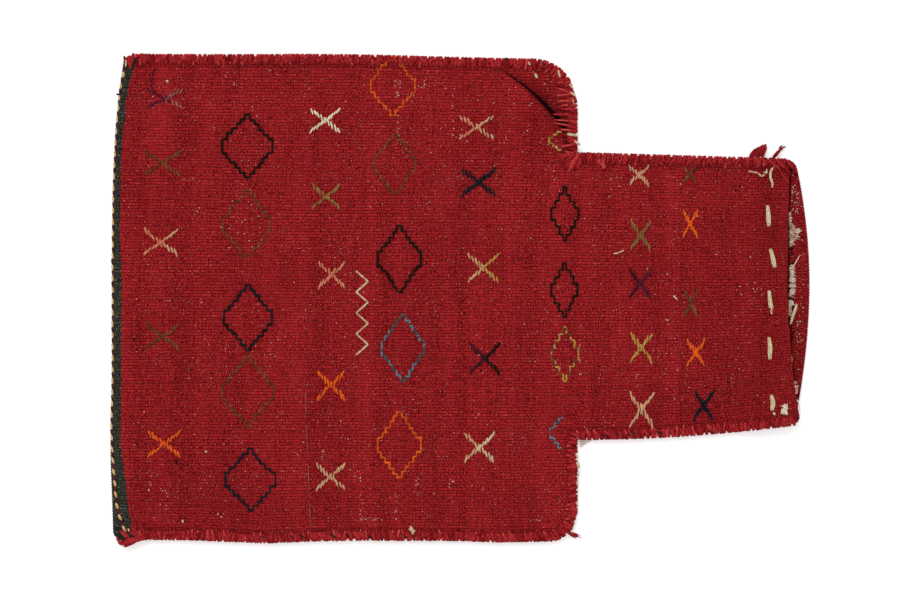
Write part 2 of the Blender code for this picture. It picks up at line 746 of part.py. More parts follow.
def stitch_places(path):
    """Where the overcasting has a ridge or a valley, and the corners of the edge between them."""
    lengths = [0.0]
    for here, after in zip(path, path[1:]):
        lengths.append(lengths[-1] + (after - here).length)
    start, end = lengths[0] + SEAM_YARN, lengths[-1] - SEAM_YARN
    count = max(2, round((end - start) / STITCH_PITCH)) * 2
    places = {between(start, end, step / count): step % 2 for step in range(count + 1)}
    for place in lengths[1:-1]:
        nearest = min(places, key=lambda known: abs(known - place))
        if abs(nearest - place) < STITCH_PITCH / 5 and start < nearest < end:
            places[place] = places.pop(nearest)
        elif start < place < end:
            places[place] = 0.5
    found = []
    for place in sorted(places):
        index = max(i for i in range(len(path) - 1) if lengths[i] <= place + 1e-9)
        step = (place - lengths[index]) / (lengths[index + 1] - lengths[index])
        found.append((path[index].lerp(path[index + 1], step), index, step, places[place]))
    return found


def build_overcasting(name, side):
    """The wool overcasting of one side: a pointed C over the sewn edge, ridged stitch by stitch."""
    path = sewn_path(side)
    heights = [front_height(point.x, point.y) + CLOTH_THICKNESS / 2 for point in path]
    low = back_height(path[2].x, path[2].y) - CLOTH_THICKNESS / 2 - SEAM_CLEARANCE
    mesh = bmesh.new()
    rings = []
    for point, index, step, valley in stitch_places(path):
        at_corner = step < 1e-6 and index > 0
        leaving = (path[index + 1] - path[index]).normalized()
        arriving = (path[index] - path[index - 1]).normalized() if at_corner else leaving
        mitre = (arriving + leaving).normalized()
        outward = Vector((-mitre.y, mitre.x)) * side
        stretch = 1 / max(0.6, mitre.dot(leaving))
        high = between(heights[index], heights[index + 1], step) + SEAM_CLEARANCE
        yarn = SEAM_YARN * between(1.0, STITCH_VALLEY, valley)
        bite = STITCH_BITE * between(1.0, 0.72, valley)
        inner, outer = SEAM_CLEARANCE * stretch, (SEAM_CLEARANCE + yarn) * stretch
        ring = [
            (point - outward * bite, high),
            (point + outward * inner, high),
            (point + outward * inner, low),
            (point - outward * bite, low),
            (point + outward * outer, low - yarn),
            (point + outward * outer, high + yarn),
        ]
        rings.append([mesh.verts.new((place.x, place.y, z)) for place, z in ring])
    bridge_rings(mesh, rings)
    return linked(name, mesh, "seam_red")


# Loose ends of sewing yarn: name, sewn side, place along the seam as a share of the way
# from the shoulder to the front mouth, length, thickness, and lean in degrees
YARN_ENDS = (
    ("upper_yarn_end_1", 1, 0.855, 15 * MM, 3.2 * MM, 42),
    ("upper_yarn_end_2", 1, 0.945, 11 * MM, 2.0 * MM, 50),
    ("lower_yarn_end", -1, -0.135, 12 * MM, 2.6 * MM, 66),
)
YARN_END_SWELLS = ((0.0, 0.55), (0.35, 0.9), (0.7, 1.0), (1.0, 0.4))
YARN_END_SIDES = 6


def build_yarn_ends():
    """Tapered ends of yarn that start at the overcasting and lie out over the floor."""
    for name, side, share, length, thickness, lean in YARN_ENDS:
        x = between(SHOULDER_X, FRONT_MOUTH_X, share)
        edge = neck_edge(x, side) if share > 0 else body_edge(x, side)
        away = Vector((math.sin(math.radians(lean)), side * math.cos(math.radians(lean)), 0))
        across = Vector((away.y, -away.x, 0))
        first_radius = thickness / 2 * YARN_END_SWELLS[0][1]
        clear = SEAM_CLEARANCE + SEAM_YARN + SEAT_GAP + first_radius * abs(across.y)
        start = Vector((x, edge + side * clear, 0))
        mesh = bmesh.new()
        rings = []
        for along, swell in YARN_END_SWELLS:
            radius = thickness / 2 * swell
            centre = start + away * length * along + Vector((0, 0, radius))
            ring = []
            for corner in range(YARN_END_SIDES):
                angle = 2 * math.pi * (corner + 0.5) / YARN_END_SIDES
                rise = Vector((0, 0, radius * math.sin(angle)))
                ring.append(mesh.verts.new(centre + across * radius * math.cos(angle) + rise))
            rings.append(ring)
        bridge_rings(mesh, rings)
        linked(name, mesh, "seam_red")


def build_foot_knot():
    """The knot that ends the sewing yarn at the foot's lower corner."""
    length, width, height = FOOT_KNOT_SIZE
    edge = body_edge(FOLD_X, -1) - SEAM_CLEARANCE - SEAM_YARN - SEAT_GAP
    x = fold_edge(body_edge(FOLD_X, -1)) + length / 2
    mesh = bmesh.new()
    bmesh.ops.create_icosphere(mesh, subdivisions=2, radius=0.5)
    bmesh.ops.scale(mesh, vec=(length, width, height), verts=mesh.verts)
    bmesh.ops.translate(mesh, vec=(x, edge - width / 2, height / 2), verts=mesh.verts)
    linked("foot_yarn_knot", mesh, "seam_red")


def stand_on_origin():
    """Moves the bag so that the middle of its underside is the origin."""
    bpy.context.view_layer.update()
    evaluated = bpy.context.evaluated_depsgraph_get()
    corners = []
    for thing in bpy.data.objects:
        corners += [Vector(corner) for corner in thing.evaluated_get(evaluated).bound_box]
    low, high = ([pick(corner[axis] for corner in corners) for axis in range(3)] for pick in (min, max))
    for thing in bpy.data.objects:
        thing.location = (-(low[0] + high[0]) / 2, -(low[1] + high[1]) / 2, -low[2])


def build_bag():
    remove_everything()
    cloth = build_cloth()
    bpy.context.view_layer.update()
    tree = BVHTree.FromObject(cloth, bpy.context.evaluated_depsgraph_get())
    build_overcasting("upper_overcasting", 1)
    build_overcasting("lower_overcasting", -1)
    build_twining(tree)
    build_figures(tree)
    build_hem_stitches(tree)
    build_yarn_ends()
    build_foot_knot()
    stand_on_origin()


build_bag()
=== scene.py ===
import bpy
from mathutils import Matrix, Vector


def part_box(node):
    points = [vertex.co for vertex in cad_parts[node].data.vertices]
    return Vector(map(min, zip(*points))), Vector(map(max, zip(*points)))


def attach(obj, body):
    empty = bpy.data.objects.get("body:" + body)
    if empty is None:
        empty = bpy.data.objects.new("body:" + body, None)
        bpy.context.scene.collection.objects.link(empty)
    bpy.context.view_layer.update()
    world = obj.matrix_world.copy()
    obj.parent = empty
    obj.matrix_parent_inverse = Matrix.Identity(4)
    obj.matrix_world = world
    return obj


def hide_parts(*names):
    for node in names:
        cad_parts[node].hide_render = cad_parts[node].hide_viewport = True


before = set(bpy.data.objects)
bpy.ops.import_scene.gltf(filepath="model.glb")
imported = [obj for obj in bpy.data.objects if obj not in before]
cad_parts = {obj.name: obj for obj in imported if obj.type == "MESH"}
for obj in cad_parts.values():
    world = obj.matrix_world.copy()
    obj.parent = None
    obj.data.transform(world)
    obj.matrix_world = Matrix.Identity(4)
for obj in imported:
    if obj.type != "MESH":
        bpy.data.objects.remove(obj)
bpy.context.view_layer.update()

import math

import bpy
import numpy as np

# The table, the light and the camera.
# The bag lies on a white table under soft light from all round, with one soft lamp from
# the upper left that brings out the ribs. The camera looks straight down from far off.
MM = 0.001
# The photograph's size in pixels, the pixel over the bag's middle and the mm that a pixel shows
PHOTO_WIDE, PHOTO_HIGH = 900, 600
PHOTO_CENTRE = (460.5, 298.0)
PHOTO_STEP = 0.7759
# The camera's height over the table in mm, and that of the seams, where the step holds
CAMERA_HEIGHT = 2200.0
SEAM_HEIGHT = 4.0
SENSOR = 36.0
# Half of the body's width at the fold, above the bag's own middle line
UPPER_HALF = 188.0
bpy.ops.object.select_all(action="DESELECT")


def linear(hex_colour):
    """The linear red, green and blue of an sRGB colour such as '#8a1c20'."""
    parts = [int(hex_colour[start:start + 2], 16) / 255 for start in (1, 3, 5)]
    return tuple(c / 12.92 if c <= 0.04045 else ((c + 0.055) / 1.055) ** 2.4 for c in parts)


def add_node(tree, kind, links=None, **settings):
    """Adds a node. links name its inputs: a node or socket joins, a hex colour or number is set."""
    node = tree.nodes.new(kind)
    for setting, value in settings.items():
        setattr(node, setting, value)
    for name, value in (links or {}).items():
        socket = node.inputs[name]
        if isinstance(value, bpy.types.Node):
            value = value.outputs[0]
        if isinstance(value, str):
            value = (*linear(value), 1)
        if isinstance(value, bpy.types.NodeSocket):
            tree.links.new(value, socket)
        else:
            socket.default_value = value
    return node


def empty_tree(material):
    """The emptied node tree of a material or of the world."""
    material.use_nodes = True
    material.node_tree.nodes.clear()
    return material.node_tree


bpy.ops.mesh.primitive_plane_add(size=6.0, location=(0, 0, -0.0002))
table = bpy.context.object
table.name = "white_table"
white_table = bpy.data.materials.new("painted_table_white")
tree = empty_tree(white_table)
paint = add_node(tree, "ShaderNodeBsdfDiffuse", {"Color": "#fafafa"})
sight = add_node(tree, "ShaderNodeLightPath")
lift = add_node(tree, "ShaderNodeMath", {0: sight.outputs["Is Camera Ray"], 1: 0.3}, operation="MULTIPLY")
glow = add_node(tree, "ShaderNodeEmission", {"Color": (1, 1, 1, 1), "Strength": lift.outputs[0]})
both = add_node(tree, "ShaderNodeAddShader", {0: paint.outputs[0], 1: glow.outputs[0]})
add_node(tree, "ShaderNodeOutputMaterial", {"Surface": both.outputs[0]})
table.data.materials.append(white_table)

sky = bpy.data.worlds.new("studio")
bpy.context.scene.world = sky
tree = empty_tree(sky)
sight = add_node(tree, "ShaderNodeLightPath")
seen = add_node(
    tree, "ShaderNodeMath",
    {0: sight.outputs["Is Camera Ray"], 1: sight.outputs["Is Transmission Ray"]}, operation="MAXIMUM",
)
seen = add_node(
    tree, "ShaderNodeMath", {0: seen.outputs[0], 1: sight.outputs["Is Glossy Ray"]}, operation="MAXIMUM",
)
strength = add_node(
    tree, "ShaderNodeMapRange",
    {"Value": seen.outputs[0], "To Min": 0.78, "To Max": 1.0},
)
back = add_node(tree, "ShaderNodeBackground", {"Color": (1, 1, 1, 1), "Strength": strength.outputs[0]})
add_node(tree, "ShaderNodeOutputWorld", {"Surface": back.outputs[0]})

bpy.ops.object.light_add(type="SUN", rotation=(math.radians(-42), math.radians(-18), 0))
lamp = bpy.context.object
lamp.name = "soft_lamp"
lamp.data.energy = 1.0
lamp.data.angle = math.radians(22)

across_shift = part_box("kilim_cloth")[1].y / MM - UPPER_HALF
bpy.ops.object.camera_add(
    location=(
        (PHOTO_WIDE / 2 - PHOTO_CENTRE[0]) * PHOTO_STEP * MM,
        ((PHOTO_CENTRE[1] - PHOTO_HIGH / 2) * PHOTO_STEP + across_shift) * MM,
        CAMERA_HEIGHT * MM,
    ),
)
camera = bpy.context.object
camera.data.sensor_width = SENSOR
camera.data.lens = SENSOR * (CAMERA_HEIGHT - SEAM_HEIGHT) / (PHOTO_WIDE * PHOTO_STEP)
camera.data.clip_end = 20
bpy.context.scene.camera = camera
bpy.context.scene.view_settings.view_transform = "Standard"

# The front of the cloth, with the fold at the foot and the turned-in hem at the mouth.
# Weft-faced flat weave of madder-red wool: weft packed over warps 2.3 mm apart, so that
# every warp is a rib along the bag. The first weft at the foot is dyed dark green.
# All lengths are in mm. A side is 1 for the photograph's upper one and -1 for its lower one.
THICKNESS = 1.6
FOLD_X, SHOULDER_X, FRONT_MOUTH_X, BACK_MOUTH_X = -270.0, 89.0, 253.0, 271.0
BODY_AT_FOLD = {1: UPPER_HALF, -1: 186.0}
BODY_AT_SHOULDER = {1: 183.5, -1: 187.0}
NECK_AT_SHOULDER = {1: 111.5, -1: 108.5}
NECK_AT_MOUTH = {1: 106.5, -1: 98.0}
NECK_CURVE = {1: 1, -1: 2}
SHOULDER_RADIUS = {1: 32.0, -1: 20.0}
FOLD_CORNER = 5.0
FOLD_RETREAT = {1: 9.0, -1: 0.5}
# How far the sides and the foot belly out: by how much, about which place, and how widely
SIDE_BELLIES = {1: ((1.7, -90, 85),), -1: ((2.3, -154, 34), (1.2, 36, 24))}
FOOT_BELLY = (1.7, -118, 42)
NOTCH_CORNER = (92, 113)
MOUTH_DIP = {1: 3.0, -1: 10.0}
MOUTH_BOW = {1: 14.0, -1: 11.0}
MOUTH_CENTRE = 12.0
SEAM_GAP, FOLD_GAP, CAVITY, MOUTH_GAP = 0.5, 3.0, 7.4, 8.5
SEAM_LIFT = 1.1
BORDER, RISE, FOLD_RISE = 12.0, 34.0, 62.0
HEM_PITCH, HEM_RAMP, FRONT_HEM, BACK_HEM = 1.9, 18.0, 22.0, 13.0
PLEAT_FOOT, PLEAT_TIP = (19.0, 183.5), (89.0, 121.5)
PLEAT_HEIGHT, PLEAT_LIP, PLEAT_FADE = 2.8, 1.6, 26.0
WARP_STEP = 2.3
RIB_HEIGHT = 0.27
SAMPLES_PER_RIB = 4
WEAVE_SPAN = 800.0
PLEAT_BOW = 4.5
MOUTH_CORNER = 5.5


def eased(value, start, end):
    """From 0 at start to 1 at end, with soft ends."""
    share = np.clip((value - start) / (end - start), 0, 1)
    return share * share * (3 - 2 * share)


def between(low, high, share):
    """The value at a share of the way from low to high."""
    return low + (high - low) * share


def sided(y, by_side):
    """The value of the side that y lies on."""
    return np.where(y > 0, by_side[1], by_side[-1])


def rounded_drop(distance, radius):
    """How far a rounded corner falls back, at a distance from its end."""
    reach = np.clip(radius - distance, 0, radius)
    return radius - np.sqrt(radius * radius - reach * reach)


def side_wave(x, side):
    """How far a side bellies out of its straight course between the fold and the shoulder."""
    return sum(depth * np.exp(-((x - place) / spread) ** 2) for depth, place, spread in SIDE_BELLIES[side])


def body_edge(x, side):
    """The y of one side of the body."""
    share = (x - FOLD_X) / (SHOULDER_X - FOLD_X)
    straight = between(BODY_AT_FOLD[side], BODY_AT_SHOULDER[side], share) + side_wave(x, side)
    return side * (straight - rounded_drop(SHOULDER_X - x, SHOULDER_RADIUS[side]))


def neck_edge(x, side):
    """The y of one side of the neck."""
    share = np.clip((x - SHOULDER_X) / (FRONT_MOUTH_X - SHOULDER_X), 0, 2)
    return side * between(NECK_AT_SHOULDER[side], NECK_AT_MOUTH[side], share ** NECK_CURVE[side])


def fold_edge(y):
    """The x of the fold at the foot."""
    half = sided(y, BODY_AT_FOLD)
    depth, place, spread = FOOT_BELLY
    run_back = sided(y, FOLD_RETREAT) * (np.abs(y) / half) ** 3 - depth * np.exp(-((y - place) / spread) ** 2)
    return FOLD_X + run_back + rounded_drop(np.maximum(half - np.abs(y), 0), FOLD_CORNER)


def mouth_edge(y, panel):
    """The x of the mouth's edge on the front or the back."""
    off_centre = (y - MOUTH_CENTRE) / NECK_AT_MOUTH[1]
    corner = rounded_drop(np.maximum(sided(y, NECK_AT_MOUTH) - np.abs(y), 0), MOUTH_CORNER)
    if panel == "front":
        return FRONT_MOUTH_X + sided(off_centre, MOUTH_DIP) * off_centre ** 2 - corner
    return BACK_MOUTH_X - sided(off_centre, MOUTH_BOW) * off_centre ** 2 - corner


def sewn_line(side, end):
    """The sewn edge of one side from the fold round the shoulder to the mouth, as (x, y)."""
    radius = SHOULDER_RADIUS[side]
    line = [(x, body_edge(x, side)) for x in np.linspace(FOLD_X, SHOULDER_X - radius - 8, 12)]
    line += [(x, body_edge(x, side)) for x in SHOULDER_X - radius * np.cos(np.linspace(0, math.pi / 2, 9))]
    line += [(x, neck_edge(x, side)) for x in np.linspace(SHOULDER_X, end, 7)]
    return np.array(line, dtype=float)


SEWN_LINES = {side: sewn_line(side, BACK_MOUTH_X) for side in (1, -1)}


def seam_distance(x, y):
    """How far a place lies from the nearest sewn edge."""
    nearest = np.full(np.shape(x), 1e9)
    for line in SEWN_LINES.values():
        for (ax, ay), (bx, by) in zip(line, line[1:]):
            dx, dy = bx - ax, by - ay
            along = np.clip(((x - ax) * dx + (y - ay) * dy) / (dx * dx + dy * dy), 0, 1)
            nearest = np.minimum(nearest, np.hypot(x - ax - along * dx, y - ay - along * dy))
    return nearest


def pleat_offset(x, y):
    """How far a point lies on the body's side of the tuck across the upper shoulder."""
    dx, dy = PLEAT_TIP[0] - PLEAT_FOOT[0], PLEAT_TIP[1] - PLEAT_FOOT[1]
    length = math.hypot(dx, dy)
    bow = PLEAT_BOW * np.sin(math.pi * np.clip((x - PLEAT_FOOT[0]) / dx, 0, 1))
    return ((x - PLEAT_FOOT[0]) * dy - (y - PLEAT_FOOT[1]) * dx) / length + bow


def pleat_rise(x, y):
    """How far the tuck lifts the cloth."""
    offset = pleat_offset(x, y)
    ends = eased(seam_distance(x, y), 9.8, 24)
    lip = np.clip(1 + offset / PLEAT_LIP, 0, 1)
    fade = 1 - eased(offset, 0, PLEAT_FADE)
    return PLEAT_HEIGHT * ends * np.where(offset < 0, lip, fade)


def crease_shade(x, y):
    """How much painted shade darkens the cloth: by the tuck's lip, in the gathers and under the stitches."""
    near, offset = seam_distance(x, y), pleat_offset(x, y)
    width = between(1.0, 3.0, np.clip((x - 30) / 40, 0, 1) ** 2)
    tuck = np.exp(-((offset + 1.4) / width) ** 2) * eased(x, 24, 44) * eased(near, 5, 12)
    tuck = tuck * (x < 88) * (y > 118)
    gathered = 0.55 * np.exp(-((x - 87) ** 2 + (y - 116) ** 2) / 90)
    gathered += 0.4 * eased(x, 72, 80) * eased(y, 118, 128) * (1 - eased(y, 158, 172))
    stitched = 0.25 * np.exp(-((near - 7.4) / 1.3) ** 2) + 0.12 * (near < 7)
    return np.clip(1.4 * tuck + stitched + gathered, 0, 1)


# How far the dark green first weft reaches in from the fold, at places across the bag, in mm
BAND_PLACES = (
    -185, -176, -169, -160, -147, -132, -122, -110, -36, 6, 26, 36, 116, 130, 140, 152, 168, 177, 187,
)
BAND_WIDTHS = (
    16.5, 14.7, 13.6, 12.2, 11.8, 10.6, 9.3, 8.1, 7.2, 7.4, 7.2, 6.2, 5.4, 5.5, 6.6, 6.0, 7.0, 9.0, 10.5,
)


def slack(x, y):
    """The cloth's gentle unevenness: long waves in the middle and puckers along the seams."""
    near = seam_distance(x, y)
    waves = np.sin(x / 31 + 1.3 * np.sin(y / 47)) * np.sin(y / 26 + 0.8 * np.sin(x / 39) + 1)
    waves += 0.6 * np.sin(x / 14.5 + y / 33 + 2) * np.sin(y / 17 - x / 52)
    pucker = np.sin(x / 2.9 + 0.9 * np.sin(x / 11)) * np.exp(-((near - 9) / 6) ** 2)
    notch = np.hypot(x - NOTCH_CORNER[0], y - NOTCH_CORNER[1])
    angle = np.arctan2(y - NOTCH_CORNER[1], x - NOTCH_CORNER[0])
    rays = np.sin(angle * 9 + 0.7) * np.exp(-((notch - 16) / 16) ** 2)
    return 0.42 * waves * eased(near, 6, 40) + 0.16 * pucker + 0.4 * rays


def back_height(x, y):
    """The middle of the back's thickness over the table."""
    belly = eased(seam_distance(x, y), BORDER, BORDER + RISE)
    return THICKNESS / 2 + SEAM_LIFT * (1 - belly)


def front_height(x, y):
    """The middle of the front's thickness over the table."""
    belly = eased(seam_distance(x, y), BORDER, BORDER + RISE)
    hem_start = FRONT_MOUTH_X - FRONT_HEM - 0.8
    hem = eased(x, hem_start - HEM_RAMP, hem_start)
    foot = eased(x - fold_edge(y), 0, FOLD_RISE)
    free = between(between(FOLD_GAP, CAVITY, foot), MOUTH_GAP, hem)
    gap = between(SEAM_GAP + 2 * HEM_PITCH * hem, free, belly)
    return back_height(x, y) + THICKNESS + gap + pleat_rise(x, y) + slack(x, y)


def front_top(x, y):
    """The crest of the front's ribs, where a stitch lies."""
    return front_height(x, y) + THICKNESS / 2 + 0.6 * RIB_HEIGHT


def rib(lane):
    """How far a warp's rib stands out of the middle of the cloth."""
    return RIB_HEIGHT * np.cos(2 * math.pi * (lane + BODY_AT_SHOULDER[-1]) / WARP_STEP)


lane_count = int(round((BODY_AT_SHOULDER[1] + BODY_AT_SHOULDER[-1]) / WARP_STEP * SAMPLES_PER_RIB))
lanes = -BODY_AT_SHOULDER[-1] + np.arange(lane_count + 1) * WARP_STEP / SAMPLES_PER_RIB
in_neck = (lanes < NECK_AT_SHOULDER[1] + 0.3) & (lanes > -NECK_AT_SHOULDER[-1] - 0.3)


def body_y(x, lane):
    """The y of a warp on its way from the fold to the shoulder."""
    share = (x - FOLD_X) / (SHOULDER_X - FOLD_X)
    spread = between(sided(lane, BODY_AT_FOLD) / sided(lane, BODY_AT_SHOULDER), 1, share)
    belly = np.where(lane > 0, side_wave(x, 1), -side_wave(x, -1)) * (np.abs(lane) / 187) ** 5
    return lane * spread + belly + 0.5 * np.sin(x / 43 + lane / 60) * (1 - (np.abs(lane) / 188) ** 2)


def neck_y(x, lane):
    """The y of a warp on its way from the shoulder to the mouth."""
    upper = neck_edge(x, 1) / NECK_AT_SHOULDER[1]
    lower = -neck_edge(x, -1) / NECK_AT_SHOULDER[-1]
    drift = 0.5 * np.sin(SHOULDER_X / 43 + lane / 60) * (1 - (np.abs(lane) / 188) ** 2)
    return lane * np.where(lane > 0, upper, lower) + drift * (1 - (lane / 112) ** 2)


def body_end(lane):
    """Where a warp of the body ends: at the shoulder, or earlier in its rounded corner."""
    radius, edge = sided(lane, SHOULDER_RADIUS), sided(lane, BODY_AT_SHOULDER)
    reach = np.clip(np.abs(lane) - (edge - radius), 0, radius)
    return SHOULDER_X - radius + np.sqrt(radius ** 2 - reach ** 2)


# The rows by the tuck: each one's share of the way along the body, and its mm past the crease
PLEAT_PLACES = {0.905: -5.0, 0.918: -2.8, 0.93: -1.5, 0.94: -0.2, 0.95: 1.5, 0.96: 2.8, 0.975: 5.5}


def along_warp(share, start, end, panel):
    """The x of one row of the body, with the rows near the shoulder drawn to the tuck."""
    plain = between(start, end, share)
    if panel == "back":
        return plain
    fall = (PLEAT_FOOT[1] - lanes) / (PLEAT_FOOT[1] - PLEAT_TIP[1])
    crease = PLEAT_FOOT[0] + (PLEAT_TIP[0] - PLEAT_FOOT[0]) * fall
    crease = np.minimum(crease + 1.5 * PLEAT_BOW * np.sin(math.pi * np.clip(fall, 0, 1)), end - 7)
    spots = [0, *sorted(PLEAT_PLACES), 1]
    drawn = np.empty(lanes.shape)
    for index in range(len(lanes)):
        goals = [start[index], *(crease[index] + PLEAT_PLACES[spot] for spot in spots[1:-1]), end[index]]
        drawn[index] = np.interp(share, spots, goals)
    return between(plain, drawn, eased(lanes, 60, 118))


def warp_rows(panel, body_shares, neck_shares):
    """Rows of (x, y, z, along, lane) of one panel, from the fold's tangent to the raw hem edge."""
    height, outward = (front_height, 1) if panel == "front" else (back_height, -1)
    start_y = body_y(FOLD_X, lanes)
    radius = (front_height(fold_edge(start_y), start_y) - back_height(fold_edge(start_y), start_y)) / 2
    start = fold_edge(start_y) + THICKNESS / 2 + radius
    rows = []
    for share in body_shares:
        x = along_warp(share, start, body_end(lanes), panel)
        y = body_y(x, lanes)
        rows.append(np.stack([x, y, height(x, y) + outward * rib(lanes), x - fold_edge(y), lanes], axis=1))
    flow = lanes[in_neck]
    turn = HEM_PITCH / 2
    end = mouth_edge(neck_y(np.full(flow.shape, 250.0), flow), panel) - THICKNESS / 2 - turn
    for share in neck_shares:
        x = between(SHOULDER_X, end, share)
        y = neck_y(x, flow)
        rows.append(np.stack([x, y, height(x, y) + outward * rib(flow), x - fold_edge(y), flow], axis=1))
    last = rows[-1]
    for step in range(1, 7):
        angle = math.pi * step / 6
        row = last.copy()
        row[:, 0] += (turn + rib(flow)) * math.sin(angle)
        row[:, 2] -= outward * (turn + rib(flow)) * (1 - math.cos(angle))
        row[:, 3] += turn * angle
        rows.append(row)
    width = FRONT_HEM if panel == "front" else BACK_HEM
    ragged = 0.9 * np.sin(flow / 3.1) * np.sin(flow / 13 + 1) + 0.5 * np.sin(flow * 1.7)
    for share in (0.3, 0.65, 1.0):
        x = last[:, 0] - share * (width - THICKNESS - turn + ragged * (share == 1.0))
        y = neck_y(x, flow)
        z = height(x, y) - outward * (HEM_PITCH + rib(flow))
        rows.append(np.stack([x, y, z, last[:, 3] + share * width, flow], axis=1))
    return rows


def woven_sheet(name, rows, under_front=False):
    """A closed cloth from rows of its middle surface, which may be the body's or the neck's width.
    The crease, past_band and past_mouth attributes tell the weave where painted shade darkens it,
    where the dark green ends, and where the back gets a painted shadow under the front's edge."""
    first_in_neck = int(np.argmax(in_neck))
    points, starts = np.concatenate(rows), np.cumsum([0] + [len(row) for row in rows])
    faces = []
    for index in range(len(rows) - 1):
        near, far = starts[index], starts[index + 1]
        count, following = len(rows[index]), len(rows[index + 1])
        near += first_in_neck if count > following else 0
        far += first_in_neck if following > count else 0
        lane = np.arange(min(count, following) - 1)
        faces.append(np.stack([near + lane, far + lane, far + lane + 1, near + lane + 1], axis=1))
    faces = np.concatenate(faces)
    mesh = bpy.data.meshes.new(name)
    places = points[:, :3] * MM + np.array([0, across_shift * MM, 0])
    mesh.from_pydata(places.tolist(), [], faces.tolist())
    weave = mesh.uv_layers.new(name="weave")
    corners = faces.reshape(-1)
    flat = np.stack([points[corners, 3] / WEAVE_SPAN + 0.1, points[corners, 4] / WEAVE_SPAN + 0.5], axis=1)
    weave.data.foreach_set("uv", flat.reshape(-1))
    # Painted shade: the crease attribute darkens the weave by the tuck's lip, in the gathers by the notch and
    # along the stitches
    shade = mesh.attributes.new("crease", "FLOAT", "POINT")
    shade.data.foreach_set("value", crease_shade(points[:, 0], points[:, 1]))
    foot = mesh.attributes.new("past_band", "FLOAT", "POINT")
    foot.data.foreach_set("value", points[:, 3] - np.interp(points[:, 1], BAND_PLACES, BAND_WIDTHS))
    # Painted shadow: past_mouth tells the back's weave where the front's edge shades it; the front gets a
    # value that paints none
    mouth = mesh.attributes.new("past_mouth", "FLOAT", "POINT")
    past = points[:, 0] - mouth_edge(points[:, 1], "front")
    mouth.data.foreach_set("value", past if under_front else np.full(past.shape, FRONT_HEM))
    cloth = bpy.data.objects.new(name, mesh)
    bpy.context.scene.collection.objects.link(cloth)
    bpy.ops.object.select_all(action="DESELECT")
    cloth.select_set(True)
    bpy.context.view_layer.objects.active = cloth
    thick = cloth.modifiers.new("Thickness", "SOLIDIFY")
    thick.thickness = THICKNESS * MM
    thick.offset = 0.0
    bpy.ops.object.modifier_apply(modifier="Thickness")
    bpy.ops.object.shade_smooth_by_angle(angle=math.radians(75))
    return cloth


fold_shares = [0, 0.006, 0.013, 0.022, 0.034, 0.05, 0.07, 0.095, 0.12, 0.15]
long_shares = list(np.linspace(0.18, 0.82, 20)) + [0.845, 0.865, 0.885]
front_shares = fold_shares + long_shares + sorted(PLEAT_PLACES) + [0.988, 1.0]
neck_steps = list(np.linspace(0, 1, 22)[1:])
front_rows = warp_rows("front", front_shares, neck_steps)
back_fold = warp_rows("back", [0, 0.02], [1.0])[:2]
arc_rows = []
for step in range(1, 8):
    angle = math.pi * step / 8
    upper, lower = front_rows[0], back_fold[0]
    radius = (upper[:, 2] - lower[:, 2]) / 2
    row = upper.copy()
    row[:, 0] -= radius * math.sin(angle)
    row[:, 2] = (upper[:, 2] + lower[:, 2]) / 2 + radius * math.cos(angle)
    row[:, 3] = upper[:, 3] - radius * angle
    arc_rows.append(row)
under = [row.copy() for row in back_fold]
for row in under:
    row[:, 3] = arc_rows[-1][:, 3] - (row[:, 0] - arc_rows[-1][:, 0])
kilim_front = woven_sheet("kilim_front", front_rows[::-1] + arc_rows + under)


# The unevenness of the weave: each field's scale in 1/mm, how it is drawn out along and across
# the ribs, its detail and its shift
WOOL_FIELDS = {
    "grain": (1.5, (0.8, 0.5), 1.0, 7.0), "picks": (1.0, (1.0, 0.02), 3.0, 0.0),
    "strands": (0.16, (0.5, 2.2), 3.0, 90.0), "bands": (0.055, (1.0, 0.03), 3.0, 40.0),
    "patches": (0.018, (1.0, 1.0), 2.0, 3.0), "hairs": (1.1, (1.0, 1.0), 2.0, 119.0),
    "thin places": (0.03, (1.0, 1.0), 2.0, 61.0), "warp": (1.2, (1.0, 1.0), 0.0, 83.0),
    "lint": (1.2, (1.0, 1.0), 0.0, 47.0), "fuzz": (1.6, (1.0, 1.0), 4.0, 31.0),
}
TONE_SHARES = {"picks": 0.16, "grain": 0.62, "bands": 0.12, "strands": 0.1}
BEAD_LENGTH = 1.3


